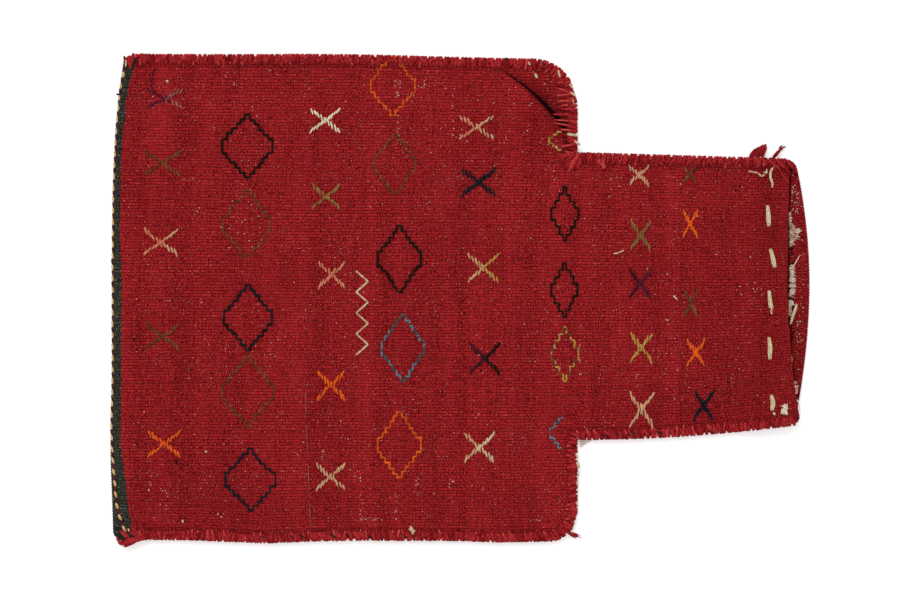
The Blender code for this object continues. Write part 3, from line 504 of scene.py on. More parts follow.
def madder_weave(name):
    """Dry handspun wool dyed with madder, a little fuzzy and without gloss. Each rib is a row of
    weft beads, the reds change a little from pick to pick, and pale warp shows in pinholes."""
    material = bpy.data.materials.new(name)
    tree = empty_tree(material)
    flat = add_node(tree, "ShaderNodeUVMap", uv_map="weave")
    sized = add_node(tree, "ShaderNodeMapping", {"Vector": flat, "Scale": (WEAVE_SPAN, WEAVE_SPAN, 1)})
    parts = add_node(tree, "ShaderNodeSeparateXYZ", {0: sized})
    fields = {}
    for field, (scale, stretch, detail, shift) in WOOL_FIELDS.items():
        placed = add_node(
            tree, "ShaderNodeMapping",
            {"Vector": sized, "Location": (shift, shift, 0), "Scale": (*stretch, 1)},
        )
        fields[field] = add_node(
            tree, "ShaderNodeTexNoise", {"Vector": placed, "Scale": scale, "Detail": detail},
        )
    past_band, past_mouth, crease = (
        add_node(tree, "ShaderNodeAttribute", attribute_name=attribute).outputs["Fac"]
        for attribute in ("past_band", "past_mouth", "crease")
    )

    # Where a place lies on its rib, and along the beads of weft, which are staggered rib by rib
    along = add_node(
        tree, "ShaderNodeMath", {0: parts.outputs[0], 1: WEAVE_SPAN * 0.1}, operation="SUBTRACT",
    )
    lane = add_node(
        tree, "ShaderNodeMath", {0: parts.outputs[1], 1: WEAVE_SPAN / 2 - BODY_AT_SHOULDER[-1]},
        operation="SUBTRACT",
    )
    turn = add_node(tree, "ShaderNodeMath", {0: lane, 1: 2 * math.pi / WARP_STEP}, operation="MULTIPLY")
    wave = add_node(tree, "ShaderNodeMath", {0: turn}, operation="COSINE")
    crest = add_node(tree, "ShaderNodeMath", {0: wave, 1: 0.5, 2: 0.5}, operation="MULTIPLY_ADD")
    ribs = add_node(tree, "ShaderNodeMath", {0: lane, 1: WARP_STEP}, operation="DIVIDE")
    rib_number = add_node(tree, "ShaderNodeMath", {0: ribs}, operation="FLOOR")
    stagger = add_node(tree, "ShaderNodeMath", {0: rib_number, 1: math.pi / 2}, operation="MULTIPLY")
    beat = add_node(
        tree, "ShaderNodeMath", {0: along, 1: math.pi / BEAD_LENGTH, 2: stagger}, operation="MULTIPLY_ADD",
    )
    swing = add_node(tree, "ShaderNodeMath", {0: beat}, operation="SINE")
    bead = add_node(tree, "ShaderNodeMath", {0: swing}, operation="ABSOLUTE")

    tone = 0.0
    for field, share in TONE_SHARES.items():
        tone = add_node(
            tree, "ShaderNodeMath", {0: fields[field], 1: share, 2: tone}, operation="MULTIPLY_ADD",
        )
    uneven = add_node(tree, "ShaderNodeMath", {0: fields["grain"], 1: 0.5}, operation="SUBTRACT")
    ragged = add_node(tree, "ShaderNodeMath", {0: uneven, 1: 3.0, 2: past_band}, operation="MULTIPLY_ADD")
    # Shares of the colour layers: one darkens the neck towards the mouth, and the last paints the shadow
    # under the front's edge on the back
    shares = {}
    for share, field, low, high, to_low, to_high in (
        ("red", tone, 0.385, 0.615, 0.0, 1.0), ("green", tone, 0.42, 0.58, 0.0, 1.0),
        ("patches", fields["patches"], 0.42, 0.6, 0.0, 0.13), ("darker toward mouth", along, 445.0, 530.0, 0.0, 0.28),
        ("painted_gap_shade", fields["grain"], 0.4, 0.6, 0.0, 0.22), ("hairs", fields["hairs"], 0.62, 0.74, 0.0, 0.34),
        ("warp limit", fields["thin places"], 0.45, 0.66, 0.84, 0.775),
        ("band", ragged, 0.3, -0.3, 0.0, 1.0), ("painted shadow under front", past_mouth, 2.3, 1.1, 0.0, 0.88),
    ):
        shares[share] = add_node(
            tree, "ShaderNodeMapRange",
            {"Value": field, "From Min": low, "From Max": high, "To Min": to_low, "To Max": to_high},
        )
    # Painted shade: the colour darkens the hollows between the ribs
    off_crest = add_node(tree, "ShaderNodeMath", {0: 1.0, 1: crest}, operation="SUBTRACT")
    hollow = add_node(tree, "ShaderNodeMath", {0: off_crest, 1: 1.6}, operation="POWER")
    painted_valley_shade = add_node(tree, "ShaderNodeMath", {0: hollow, 1: 0.72}, operation="MULTIPLY")
    # Painted shade: the colour darkens the gaps between the weft beads, more in some places than others
    off_bead = add_node(tree, "ShaderNodeMath", {0: 1.0, 1: bead}, operation="SUBTRACT")
    painted_gap_shade = add_node(tree, "ShaderNodeMath", {0: off_bead, 1: shares["painted_gap_shade"]}, operation="MULTIPLY")
    bare = add_node(
        tree, "ShaderNodeMath", {0: fields["warp"], 1: shares["warp limit"]}, operation="GREATER_THAN",
    )
    warp = add_node(tree, "ShaderNodeMath", {0: bare, 1: 0.85}, operation="MULTIPLY")
    caught = add_node(tree, "ShaderNodeMath", {0: fields["lint"], 1: 0.76}, operation="GREATER_THAN")
    lint = add_node(tree, "ShaderNodeMath", {0: caught, 1: 0.7}, operation="MULTIPLY")

    # The red and the green are each built up of layers, with painted shade in the rib valleys and in the
    # gaps between the weft beads; the painted shade of the tuck and the stitches and the painted shadow
    # under the front's edge lie over both
    red, green = "#4e0304", "#141613"
    for share, shade in (
        (shares["red"], "#c82d33"), (shares["patches"], "#6a0c10"), (shares["darker toward mouth"], "#58080a"),
        (painted_valley_shade, "#3a0303"), (painted_gap_shade, "#500506"), (shares["hairs"], "#d9877c"), (warp, "#e2c4ac"),
    ):
        red = add_node(tree, "ShaderNodeMix", {0: share, 6: red, 7: shade}, data_type="RGBA").outputs[2]
    for share, shade in ((shares["green"], "#45463c"), (painted_valley_shade, "#0c0d0b"), (lint, "#b8b4a4")):
        green = add_node(tree, "ShaderNodeMix", {0: share, 6: green, 7: shade}, data_type="RGBA").outputs[2]
    colour = red
    # Over the red and the green band lie the painted shade of the crease attribute and the painted shadow
    # under the front's edge
    for share, shade in ((shares["band"], green), (crease, "#180203"), (shares["painted shadow under front"], "#0a0203")):
        colour = add_node(tree, "ShaderNodeMix", {0: share, 6: colour, 7: shade}, data_type="RGBA").outputs[2]
    fuzz = add_node(tree, "ShaderNodeMath", {0: fields["fuzz"], 1: 0.8}, operation="MULTIPLY")
    height = add_node(tree, "ShaderNodeMath", {0: bead, 1: 0.6, 2: fuzz}, operation="MULTIPLY_ADD")
    bump = add_node(tree, "ShaderNodeBump", {"Height": height, "Strength": 0.8, "Distance": 0.0004})
    shader = add_node(
        tree, "ShaderNodeBsdfPrincipled",
        {"Base Color": colour, "Roughness": 0.95, "Normal": bump, "Specular IOR Level": 0.03},
    )
    add_node(tree, "ShaderNodeOutputMaterial", {"Surface": shader})
    return material


madder_wool = madder_weave("madder_wool_weave")
kilim_front.data.materials.append(madder_wool)
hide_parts("kilim_cloth")
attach(kilim_front, "root")

# The back of the same cloth, which goes on from the fold under the bag to the mouth.
# The same weave, and it runs 18 mm past the front, where its hem is turned up and shows
# with a raw edge.
back_rows = warp_rows("back", [0.02] + list(np.linspace(0.06, 1.0, 14)), list(np.linspace(0, 1, 16)[1:]))
kilim_back = woven_sheet("kilim_back", back_rows, under_front=True)
kilim_back.data.materials.append(madder_wool)
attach(kilim_back, "root")

# The overcasting, which holds front and back together along both sides.
# Loosely spun red wool, whipped over the edge every 2 mm with bites of 4 to 6 mm, and under
# looser, longer turns about every 4 mm. Other wools have mended it at the corners.
chance = np.random.default_rng(26)


def dyed_yarn(name, light, dark, fleck=0.35):
    """Handspun two-ply wool: matt, with paler hairs and painted shade in the hollows between its plies."""
    material = bpy.data.materials.new(name)
    tree = empty_tree(material)
    place = add_node(tree, "ShaderNodeTexCoord").outputs["Object"]
    ply = add_node(tree, "ShaderNodeTexNoise", {"Vector": place, "Scale": 900.0, "Detail": 2.0})
    lot = add_node(tree, "ShaderNodeTexNoise", {"Vector": place, "Scale": 130.0, "Detail": 2.0})
    mix = add_node(
        tree, "ShaderNodeMapRange", {"Value": ply.outputs["Fac"], "From Min": 0.38, "From Max": 0.6},
    )
    wide = add_node(
        tree, "ShaderNodeMapRange",
        {"Value": lot.outputs["Fac"], "From Min": 0.4, "From Max": 0.65, "To Max": fleck},
    )
    share = add_node(
        tree, "ShaderNodeMath", {0: mix.outputs[0], 1: wide.outputs[0]}, operation="SUBTRACT", use_clamp=True,
    )
    # Painted light and shade: the light colour lies on the plies' crests and the dark one in the hollows,
    # following the ply bump
    colour = add_node(tree, "ShaderNodeMix", {0: share, 6: dark, 7: light}, data_type="RGBA")
    bump = add_node(
        tree, "ShaderNodeBump", {"Height": ply.outputs["Fac"], "Strength": 0.6, "Distance": 0.0004},
    )
    shader = add_node(
        tree, "ShaderNodeBsdfPrincipled",
        {
            "Base Color": colour.outputs[2], "Roughness": 0.92, "Normal": bump.outputs[0],
            "Specular IOR Level": 0.04,
        },
    )
    add_node(tree, "ShaderNodeOutputMaterial", {"Surface": shader.outputs[0]})
    return material


def lay_yarn(name, strands, materials, nodes=()):
    """One piece of many strands. A strand is its thickness, its dye's number and its points in mm."""
    curve = bpy.data.curves.new(name, "CURVE")
    curve.dimensions = "3D"
    curve.bevel_depth = MM / 2
    curve.bevel_resolution = 1
    curve.use_fill_caps = True
    for material in materials:
        curve.materials.append(material)
    for thickness, dye, points in strands:
        spline = curve.splines.new("POLY")
        spline.points.add(len(points) - 1)
        spline.material_index = dye
        spline.use_smooth = True
        last = len(points) - 1
        for index, (x, y, z) in enumerate(points):
            spline.points[index].co = (x * MM, (y + across_shift) * MM, z * MM, 1)
            swell = 1 - 0.55 * abs(2 * index / last - 1) ** 3
            spline.points[index].radius = thickness * swell
    piece = bpy.data.objects.new(name, curve)
    bpy.context.scene.collection.objects.link(piece)
    bpy.ops.object.select_all(action="DESELECT")
    piece.select_set(True)
    bpy.context.view_layer.objects.active = piece
    bpy.ops.object.convert(target="MESH")
    piece = bpy.context.object
    bpy.ops.object.mode_set(mode="EDIT")
    bpy.ops.mesh.select_all(action="SELECT")
    bpy.ops.mesh.remove_doubles(threshold=0.00001)
    bpy.ops.mesh.normals_make_consistent(inside=False)
    bpy.ops.object.mode_set(mode="OBJECT")
    bpy.ops.object.shade_smooth_by_angle(angle=math.radians(60))
    if nodes:
        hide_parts(*nodes)
    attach(piece, "root")
    return piece


seam_wools = (
    dyed_yarn("madder_sewing_wool", "#b83235", "#84161a"),
    dyed_yarn("faded_sewing_wool", "#d8554f", "#a82e30"),
    dyed_yarn("deep_sewing_wool", "#9e2026", "#680d12"),
    dyed_yarn("dark_green_sewing_wool", "#2c302c", "#161816"),
    dyed_yarn("pale_mending_wool", "#d8c6a4", "#b29a74"),
)


def from_photo(px, py):
    """A place on the bag in mm from its place in the photograph."""
    return (px - PHOTO_CENTRE[0]) * PHOTO_STEP, (PHOTO_CENTRE[1] - py) * PHOTO_STEP


def spot_along(line, reached, place, span):
    """The x, the y and the course of a line at a place along it, the course over a span each way."""
    x, y = (np.interp(place, reached, line[:, axis]) for axis in (0, 1))
    ahead = [np.interp(place + span, reached, line[:, axis]) for axis in (0, 1)]
    behind = [np.interp(place - span, reached, line[:, axis]) for axis in (0, 1)]
    course = np.array(ahead) - np.array(behind)
    return x, y, course / np.hypot(*course)


def along_line(line, step):
    """Places about every step mm along a line, each with the line's course there."""
    legs = np.hypot(*(line[1:] - line[:-1]).T)
    reached = np.concatenate([[0], np.cumsum(legs)])
    found = []
    for place in np.arange(step / 2, reached[-1], step):
        place += chance.normal(0, 0.12 * step)
        found.append(spot_along(line, reached, place, 4))
    return found


TUCK_END, TUCK_REACH = (88, 142), 26


def whip_stitches(side, pitch, thickness, bites, overhangs, lean_by, dyes, gather):
    """Turns of sewing yarn over one side's edge, down to the back of the bag."""
    strands = []
    line = sewn_line(side, mouth_edge(neck_edge(250, side), "front") + 1)
    line[0, 0] = fold_edge(body_edge(FOLD_X, side)) + 1
    for x, y, course in along_line(line, pitch):
        out = np.array([-course[1], course[0]]) * side
        near_tuck = math.exp(-(math.hypot(x - TUCK_END[0], y - TUCK_END[1]) / TUCK_REACH) ** 2)
        bite = chance.uniform(*bites) * (1 + gather * near_tuck)
        lean = chance.normal(1.0, lean_by)
        thick = chance.uniform(*thickness)
        points = []
        for share in (1.0, 0.85, 0.55, 0.25, 0.05):
            px, py = np.array([x, y]) - out * bite * share + course * lean * (0.5 - share)
            sink = -0.9 if share == 1.0 else 0.15
            points.append((px, py, float(front_top(px, py)) + sink))
        top, low = points[-1][2], float(back_height(x, y)) - THICKNESS / 2
        overhang = chance.uniform(*overhangs)
        for drop, reach in ((0.25, 0.6), (0.5, 1.0), (0.75, 0.6)):
            px, py = np.array([x, y]) + out * reach * overhang + course * lean * 0.6
            points.append((px, py, between(top, low, drop)))
        for share in (0.1, 0.5, 0.9):
            px, py = np.array([x, y]) - out * bite * share + course * lean * (0.8 + share)
            points.append((px, py, low - (0.1 if share < 0.9 else -0.6)))
        dye = int(chance.choice(dyes))
        if gather > 1 and chance.random() < 0.5 * near_tuck:
            dye = 1
        strands.append((thick, dye, points))
    return strands


def surface_stitch(start, end, thick, dye, hump=0.5):
    """A long stitch in the face of the cloth, between two places in mm."""
    points = []
    for share in (0, 0.12, 0.35, 0.65, 0.88, 1):
        x, y = between(start[0], end[0], share), between(start[1], end[1], share)
        points.append((x, y, float(front_top(x, y)) + (hump if 0 < share < 1 else -0.9)))
    return thick, dye, points


# Long stitches that gather the shoulder round the upper notch: their root, and each one's angle,
# length in mm and dye
FAN_ROOT = (91, 113)
NOTCH_FAN = (
    (228, 18, 0), (236, 16, 0), (221, 15, 2), (244, 17, 1), (252, 15, 0), (262, 14, 2), (271, 13, 0),
    (281, 11, 0), (214, 14, 0), (207, 16, 2), (199, 18, 0), (191, 17, 0), (233, 10, 2), (257, 9, 1),
)
# Mending stitches as both ends in the photograph, thickness in mm and dye
MENDING_STITCHES = (
    (120.5, 534, 126, 541, 2.2, 3), (127, 531, 131, 537.5, 2.0, 3), (131, 534, 137, 539, 1.8, 3),
    (117, 534, 121, 540, 2.0, 3), (123, 530, 130, 538, 2.0, 0), (131.5, 524, 135, 536, 2.2, 0),
    (128.3, 528.5, 129.6, 531, 1.4, 4), (136, 530, 142, 537, 1.8, 0), (117, 537, 121, 545, 2.2, 0),
    (129.5, 56, 130.5, 68.5, 2.6, 0), (127.5, 57, 128.5, 64, 2.0, 0), (132, 56, 132, 64, 2.0, 0),
    (134.5, 58, 136, 62.5, 1.8, 3), (124.5, 56, 125, 61, 1.8, 0), (126.2, 60, 126.2, 63.5, 1.5, 4),
    (505, 58, 508, 62, 1.8, 3), (542, 62, 545, 66, 1.6, 3), (558, 70, 560, 78, 1.8, 4),
    (528.5, 62, 530, 65.5, 1.5, 4), (535, 74, 537, 78, 2.2, 4), (569, 84, 573, 89, 1.3, 4),
    (570, 92, 576, 97, 1.6, 4), (572, 97, 574, 105, 1.0, 4), (567, 134, 577, 136, 2.4, 4),
    (574, 141, 580, 145, 2.0, 4), (555.5, 146, 557, 149, 1.2, 4),
    (262, 535.5, 265, 538, 1.5, 3), (290, 535, 294, 538, 1.5, 3), (300, 534.5, 304, 537, 1.8, 3),
    (331, 534.5, 336, 537, 1.8, 3), (346, 533.5, 350, 536.5, 1.7, 3), (367, 535, 371, 538, 1.6, 3),
    (403, 535, 408, 538, 1.6, 3), (605, 435, 609, 438, 1.6, 3), (615, 433, 619, 436, 1.5, 3),
    (630, 431, 636, 434, 1.7, 3), (656, 431, 662, 434, 1.7, 3), (709, 430, 713, 433, 1.5, 3),
    (410.5, 526, 413.5, 534, 2.6, 4), (409, 529, 415, 531, 2.0, 4),
    (576, 455, 578, 458, 1.5, 4), (577, 462, 579, 468, 2.4, 4), (577.5, 472, 578.5, 476, 1.5, 4),
    (576.5, 482, 578, 486, 1.5, 4), (576, 502, 578, 506, 1.5, 4), (123, 544, 147, 537.5, 2.8, 0),
    (124, 546.5, 136, 541.5, 2.4, 2), (124, 541, 138, 538, 2.8, 0), (601, 163, 605, 168, 3.2, 1),
    (603, 162, 603, 169, 2.4, 1),
    (764, 158, 773, 167, 1.9, 2), (768, 160, 779, 170, 2.1, 0), (774, 159, 787, 171, 2.2, 0),
    (779, 160, 790, 176, 2.2, 2), (776, 165, 787, 184, 1.7, 0), (784, 159, 794, 170, 2.2, 0),
    (788, 160, 797, 174, 2.0, 2), (771, 166, 781, 178, 1.5, 2), (757, 158, 768, 163, 1.8, 0),
)
for side, name in ((1, "upper_overcasting"), (-1, "lower_overcasting")):
    strands = whip_stitches(side, 2.1, (2.3, 2.8), (4.0, 6.5), (0.7, 1.0), 1.3, (2, 0, 0), 0.2)
    strands += whip_stitches(side, 4.1, (1.5, 2.2), (4.5, 8.0), (0.8, 1.4), 1.9, (0, 1, 2, 0, 1), 1.5)
    if side > 0:
        for angle, reach, dye in NOTCH_FAN:
            course = (math.cos(math.radians(angle)), math.sin(math.radians(angle)))
            strands.append(surface_stitch(
                (FAN_ROOT[0] + 2 * course[0], FAN_ROOT[1] + 2 * course[1]),
                (FAN_ROOT[0] + reach * course[0], FAN_ROOT[1] + reach * course[1]),
                chance.uniform(1.7, 2.4), dye, 1.0,
            ))
    for ax, ay, bx, by, thick, dye in MENDING_STITCHES:
        if (PHOTO_CENTRE[1] - ay) * side > 0:
            strands.append(surface_stitch(from_photo(ax, ay), from_photo(bx, by), thick, dye, 0.9))
    lay_yarn(f"{name}_yarn", strands, seam_wools, (name,))

# The crosses and lozenges in coloured yarn, eight rows of them.
# Wool of a dozen dyes, worked in with the weft in short stitches: the lozenges in steps,
# and the crosses with one arm of steep stitches and one of flat ones that overlap.
DYES = {
    "cream": ("#ddc8a4", "#b59a74"), "white": ("#ebe1c8", "#cdbb98"),
    "orange": ("#ee6c1e", "#c4481a"), "rust": ("#d65c1c", "#a03c1a"),
    "salmon": ("#dc9472", "#b8684f"), "tan": ("#d8ae86", "#b08060"), "pink": ("#a8685f", "#7c3a3a"),
    "olive": ("#9a7a42", "#6e4d2a"), "brown": ("#8a5830", "#5c3620"), "umber": ("#704a2c", "#50281a"),
    "gold": ("#c8a052", "#9a6e34"), "navy": ("#20222c", "#141418"), "black_green": ("#1c1a14", "#120e0c"),
    "teal": ("#4c5c5a", "#3a3c3c"), "sky": ("#6d8a9a", "#4c6270"), "plum": ("#4a1a28", "#301018"),
    "faded_plum": ("#60202f", "#481524"),
}
dye_wools = {name: dyed_yarn(f"brocading_wool_{name}", *shades) for name, shades in DYES.items()}


def stitch(start, end, thick, dye=0, hump=0.35):
    """One short stitch that comes up out of the cloth, lies on its ribs and goes down again."""
    (ax, ay), (bx, by) = start, end
    points = []
    for share in (0, 0.2, 0.5, 0.8, 1):
        x, y = between(ax, bx, share), between(ay, by, share)
        sink = -0.75 if share in (0, 1) else hump
        points.append((x, y, float(front_top(x, y)) + sink - 0.25))
    return thick, dye, points


def cross_stitches(px, py, half_x, half_y, count=8, thick=1.5):
    """Two arms of steep, short stitches that lie side by side, uneven as hand work is."""
    x, y = from_photo(px, py)
    wide, tall = (half_x - 1.3) * PHOTO_STEP, (half_y - 3.2) * PHOTO_STEP
    step_x, step_y = 2 * wide / count, 2 * tall / count
    strands = []
    for arm, half_width, half_height in ((-1, 0.42, 1.0), (1, 0.6, 0.85)):
        for index in range(count + 1):
            share = index / count * 2 - 1
            cx = x + wide * share + chance.normal(0, 0.2)
            cy = y + arm * tall * share + chance.normal(0, 0.35)
            reach = chance.uniform(0.75, 1.3)
            dx = half_width * step_x * chance.uniform(0.6, 1.2)
            dy = (half_height * step_y + 0.9) * reach * arm
            strands.append(stitch(
                (cx - dx, cy - dy), (cx + dx, cy + dy), thick * chance.uniform(0.8, 1.25),
                int(share + chance.normal(0, 0.3) > 0), 0.35 if arm < 0 else 0.6,
            ))
    return strands


# Each cross: its row and number, its middle and half its size in pixels, and its two dyes
CROSSES = (
    (1, 1, 165.5, 99, 17, 11, "faded_plum", "pink"), (1, 2, 163, 163.5, 17, 13, "umber", "brown"),
    (1, 3, 161.4, 242.5, 16.5, 14, "salmon", "tan"), (1, 4, 163, 336.5, 16, 13.5, "umber", "brown"),
    (1, 5, 164.7, 443.5, 16, 13.5, "orange", "orange"),
    (3, 1, 325.5, 121, 14.5, 13, "white", "white"), (3, 2, 326.5, 197, 13.5, 13, "olive", "olive"),
    (3, 3, 332, 275, 13, 14, "salmon", "salmon"), (3, 4, 331.5, 385, 13.5, 15, "orange", "orange"),
    (3, 5, 331, 476, 14, 14, "tan", "tan"),
    (5, 1, 476.5, 128, 16.5, 13, "salmon", "tan"), (5, 2, 478.5, 182.5, 16.5, 14.5, "navy", "navy"),
    (5, 3, 483, 268, 15, 15, "tan", "gold"), (5, 4, 484.5, 358, 14.5, 16, "plum", "black_green"),
    (5, 5, 479.5, 447, 14.5, 15, "tan", "cream"),
    (7, 1, 639, 175, 10, 11, "tan", "tan"), (7, 2, 640, 235.5, 10, 14.5, "olive", "olive"),
    (7, 3, 639.5, 283.5, 10.5, 14.5, "plum", "faded_plum"), (7, 4, 640.5, 347.5, 10.5, 14.5, "gold", "gold"),
    (7, 5, 641.5, 409.5, 11.5, 17.5, "tan", "tan"),
    (8, 1, 689.5, 174.5, 6.5, 9.5, "brown", "umber"), (8, 2, 689.5, 224, 7.5, 14, "orange", "orange"),
    (8, 3, 690.5, 303.5, 6.5, 13.5, "umber", "brown"), (8, 4, 695, 352.5, 9, 13.5, "orange", "orange"),
    (8, 5, 703.5, 405, 9.5, 15, "navy", "navy"),
)
for row, number, px, py, half_x, half_y, left, right in CROSSES:
    name = f"row{row}_cross_{number}"
    count = 8 if half_x > 12 else 6
    thick = 1.75 if "navy" in (left, right) or "plum" in (left, right) else 1.4
    strands = cross_stitches(px, py, half_x, half_y, count, thick)
    wools = (dye_wools[left], dye_wools[right])
    lay_yarn(f"{name}_yarn", strands, wools, (name,))


def uneven_steps(total, first, count):
    """Where count uneven steps end, from first to total."""
    sizes = chance.uniform(0.72, 1.28, count)
    return [first, *(first + (total - first) * np.cumsum(sizes) / sizes.sum())]


def lozenge_stitches(px, py, half_x, half_y, thick):
    """A lozenge that goes down in uneven steps: a run of stitches, then a few across."""
    x, y = from_photo(px, py)
    wide, tall = half_x * PHOTO_STEP, half_y * PHOTO_STEP
    steps = 5 if half_x > 16 else 3
    outline = []
    for sign_x, sign_y, order in ((1, 1, 1), (1, -1, -1), (-1, -1, 1), (-1, 1, -1)):
        across = uneven_steps(wide, 2.0 if steps == 5 else 1.2, steps)
        down = [tall - drop for drop in uneven_steps(0.78 * tall, 0.0, steps)]
        quarter = [(across[0], down[0])]
        for step in range(steps):
            quarter += [(across[step], down[step + 1]), (across[step + 1], down[step + 1])]
        outline += [(x + sign_x * a, y + sign_y * b) for a, b in quarter[::order]]
    strands = []
    for (ax, ay), (bx, by) in zip(outline, outline[1:] + outline[:1]):
        length = math.hypot(bx - ax, by - ay)
        if length < 0.3:
            continue
        pieces = max(1, round(length / 2.6))
        for part in range(pieces):
            start = (between(ax, bx, part / pieces - 0.12), between(ay, by, part / pieces - 0.12))
            end = (between(ax, bx, (part + 1.12) / pieces), between(ay, by, (part + 1.12) / pieces))
            lean = chance.normal(0, 0.3)
            if abs(bx - ax) < 0.2:
                start, end = (start[0] + lean, start[1]), (end[0] - lean, end[1])
            strands.append(stitch(start, end, thick * chance.uniform(0.75, 1.25), int(chance.random() < 0.4)))
    return strands


# Each lozenge: as for a cross, and its yarn's thickness in mm
LOZENGES = (
    (2, 1, 248, 146.5, 25, 31.5, "black_green", "black_green", 1.75),
    (2, 2, 247, 224.5, 23.5, 33.5, "umber", "brown", 1.2),
    (2, 3, 248.5, 317.5, 24, 32.5, "navy", "black_green", 1.75),
    (2, 4, 248.5, 391.5, 25.5, 35.5, "umber", "brown", 1.3),
    (2, 5, 251, 479, 25, 31, "navy", "navy", 1.7),
    (4, 1, 393, 86.5, 22, 29.5, "orange", "rust", 1.4), (4, 2, 395, 164.5, 20.5, 29.5, "umber", "brown", 1.2),
    (4, 3, 399.5, 259, 21.5, 33, "black_green", "black_green", 1.8),
    (4, 4, 403, 348, 21, 33, "teal", "sky", 1.5),
    (4, 5, 399.5, 444.5, 21.5, 32.5, "orange", "rust", 1.5),
    (6, 2, 564.5, 214, 13.5, 27, "black_green", "black_green", 1.6),
    (6, 3, 564, 290, 13, 27, "black_green", "black_green", 1.6),
    (6, 4, 564.5, 354, 13.5, 27, "gold", "brown", 1.3),
)
for row, number, px, py, half_x, half_y, main, second, thick in LOZENGES:
    name = f"row{row}_lozenge_{number}"
    strands = lozenge_stitches(px, py, half_x, half_y, thick)
    lay_yarn(f"{name}_yarn", strands, (dye_wools[main], dye_wools[second]), (name,))

# The two half lozenges that the shoulder seams cut off, and the cream zigzag.
# The same brocading wool: an open chevron by each shoulder, and a plain line of cream
# stitches to and fro between the third row and the fourth.


def run_of_stitches(outline, thick, step=2.3):
    """Short stitches one after another along an outline."""
    strands = []
    for (ax, ay), (bx, by) in zip(outline, outline[1:]):
        pieces = max(1, round(math.hypot(bx - ax, by - ay) / step))
        for part in range(pieces):
            low, high = (part - 0.15) / pieces, (part + 1.15) / pieces
            strands.append(stitch(
                (between(ax, bx, low), between(ay, by, low)), (between(ax, bx, high), between(ay, by, high)),
                thick * chance.uniform(0.85, 1.15), int(chance.random() < 0.35),
            ))
    return strands


# Each half lozenge: one end, its point and the other end in the photograph, and its two dyes
HALF_LOZENGES = (
    ("row6_half_lozenge_1", ((561, 132), (549, 140.5), (561, 150)), "gold", "olive"),
    ("row6_half_lozenge_5", ((563.5, 418), (550, 432.5), (562, 448)), "sky", "teal"),
)
for name, spots, main, second in HALF_LOZENGES:
    (ax, ay), (bx, by), (cx, cy) = (from_photo(*spot) for spot in spots)
    steps = []
    for share in (0, 0.34, 0.67, 1):
        steps.append((between(ax, bx, share), between(ay, by, share)))
        if share < 1:
            steps.append((between(ax, bx, share + 0.33), between(ay, by, share)))
    for share in (0, 0.34, 0.67, 1):
        steps.append((between(bx, cx, share), between(by, cy, share)))
        if share < 1:
            steps.append((between(bx, cx, share), between(by, cy, share + 0.33)))
    wools = (dye_wools[main], dye_wools[second])
    lay_yarn(f"{name}_yarn", run_of_stitches(steps, 1.5), wools, (name,))

low, high = (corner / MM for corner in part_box("cream_zigzag"))
ZIGZAG_TURNS, ZIGZAG_INSET = 8, 1.2
path = []
for turn in range(ZIGZAG_TURNS + 1):
    x = between(low.x + ZIGZAG_INSET, high.x - ZIGZAG_INSET, turn % 2)
    y = between(high.y - ZIGZAG_INSET, low.y + ZIGZAG_INSET, turn / ZIGZAG_TURNS) - across_shift
    path.append((x, y))
lay_yarn(
    "cream_zigzag_yarn", run_of_stitches(path, 1.5, 2.6), (dye_wools["cream"], dye_wools["tan"]),
    ("cream_zigzag",),
)

# The twined line along the fold in the dark band.
# Two yarns, one cream and one dull red, twisted round each other over the fold, so that
# a cream bead and a dark one take turns every 4.4 mm.
twined_wool = (
    dyed_yarn("cream_twining_wool", "#e8c48c", "#c49a64"),
    dyed_yarn("dark_twining_wool", "#6a2a30", "#3a1a1c"),
)


def fold_top(y, inset):
    """The height of the rounded fold's outer face, a little way in from its edge."""
    edge = fold_edge(y)
    high, low = front_height(edge, y), back_height(edge, y)
    radius = (high - low + THICKNESS) / 2
    round_top = (high + low) / 2 + np.sqrt(radius ** 2 - np.maximum(radius - inset, 0) ** 2)
    return np.where(inset < radius, round_top, np.maximum(round_top, front_top(edge + inset, y) - 0.2))


# How far the line runs in from the fold's edge, at places across the bag
TWINING_PLACES = (-181, -178.6, -170, -162, -147, -130, -117, -100, -20, 150, 168, 177, 185)
TWINING_INSETS = (9.6, 8.6, 5.7, 3.7, 3.0, 2.3, 1.4, 0.8, 0.3, 0.3, 0.6, 1.6, 3.0)
TWINING_STEP = 4.4
strands = []
for index, y in enumerate(np.arange(182.0, -181.0, -TWINING_STEP)):
    lean = chance.normal(0, 0.12)
    points = []
    for share, rise in ((-1, -0.5), (-0.55, 0.05), (0, 0.3), (0.55, 0.05), (1, -0.5)):
        place_y = y + share * 2.6
        inset = np.interp(place_y, TWINING_PLACES, TWINING_INSETS)
        place_x = fold_edge(place_y) + inset + share * -0.5 + lean
        points.append((place_x, place_y, float(fold_top(place_y, inset)) + rise))
    strands.append((1.9, index % 2, points))
lay_yarn("fold_twining_yarn", strands, twined_wool, ("fold_twining",))

# The running stitches of the hems at the mouth.
# Thick two-ply cream cotton: long stitches show on the front, 13 to 21 mm each, and the
# back's hem shows two on its turned-up face.
cotton = dyed_yarn("cream_cotton_cord", "#eadfc2", "#c8b892", 0.2)


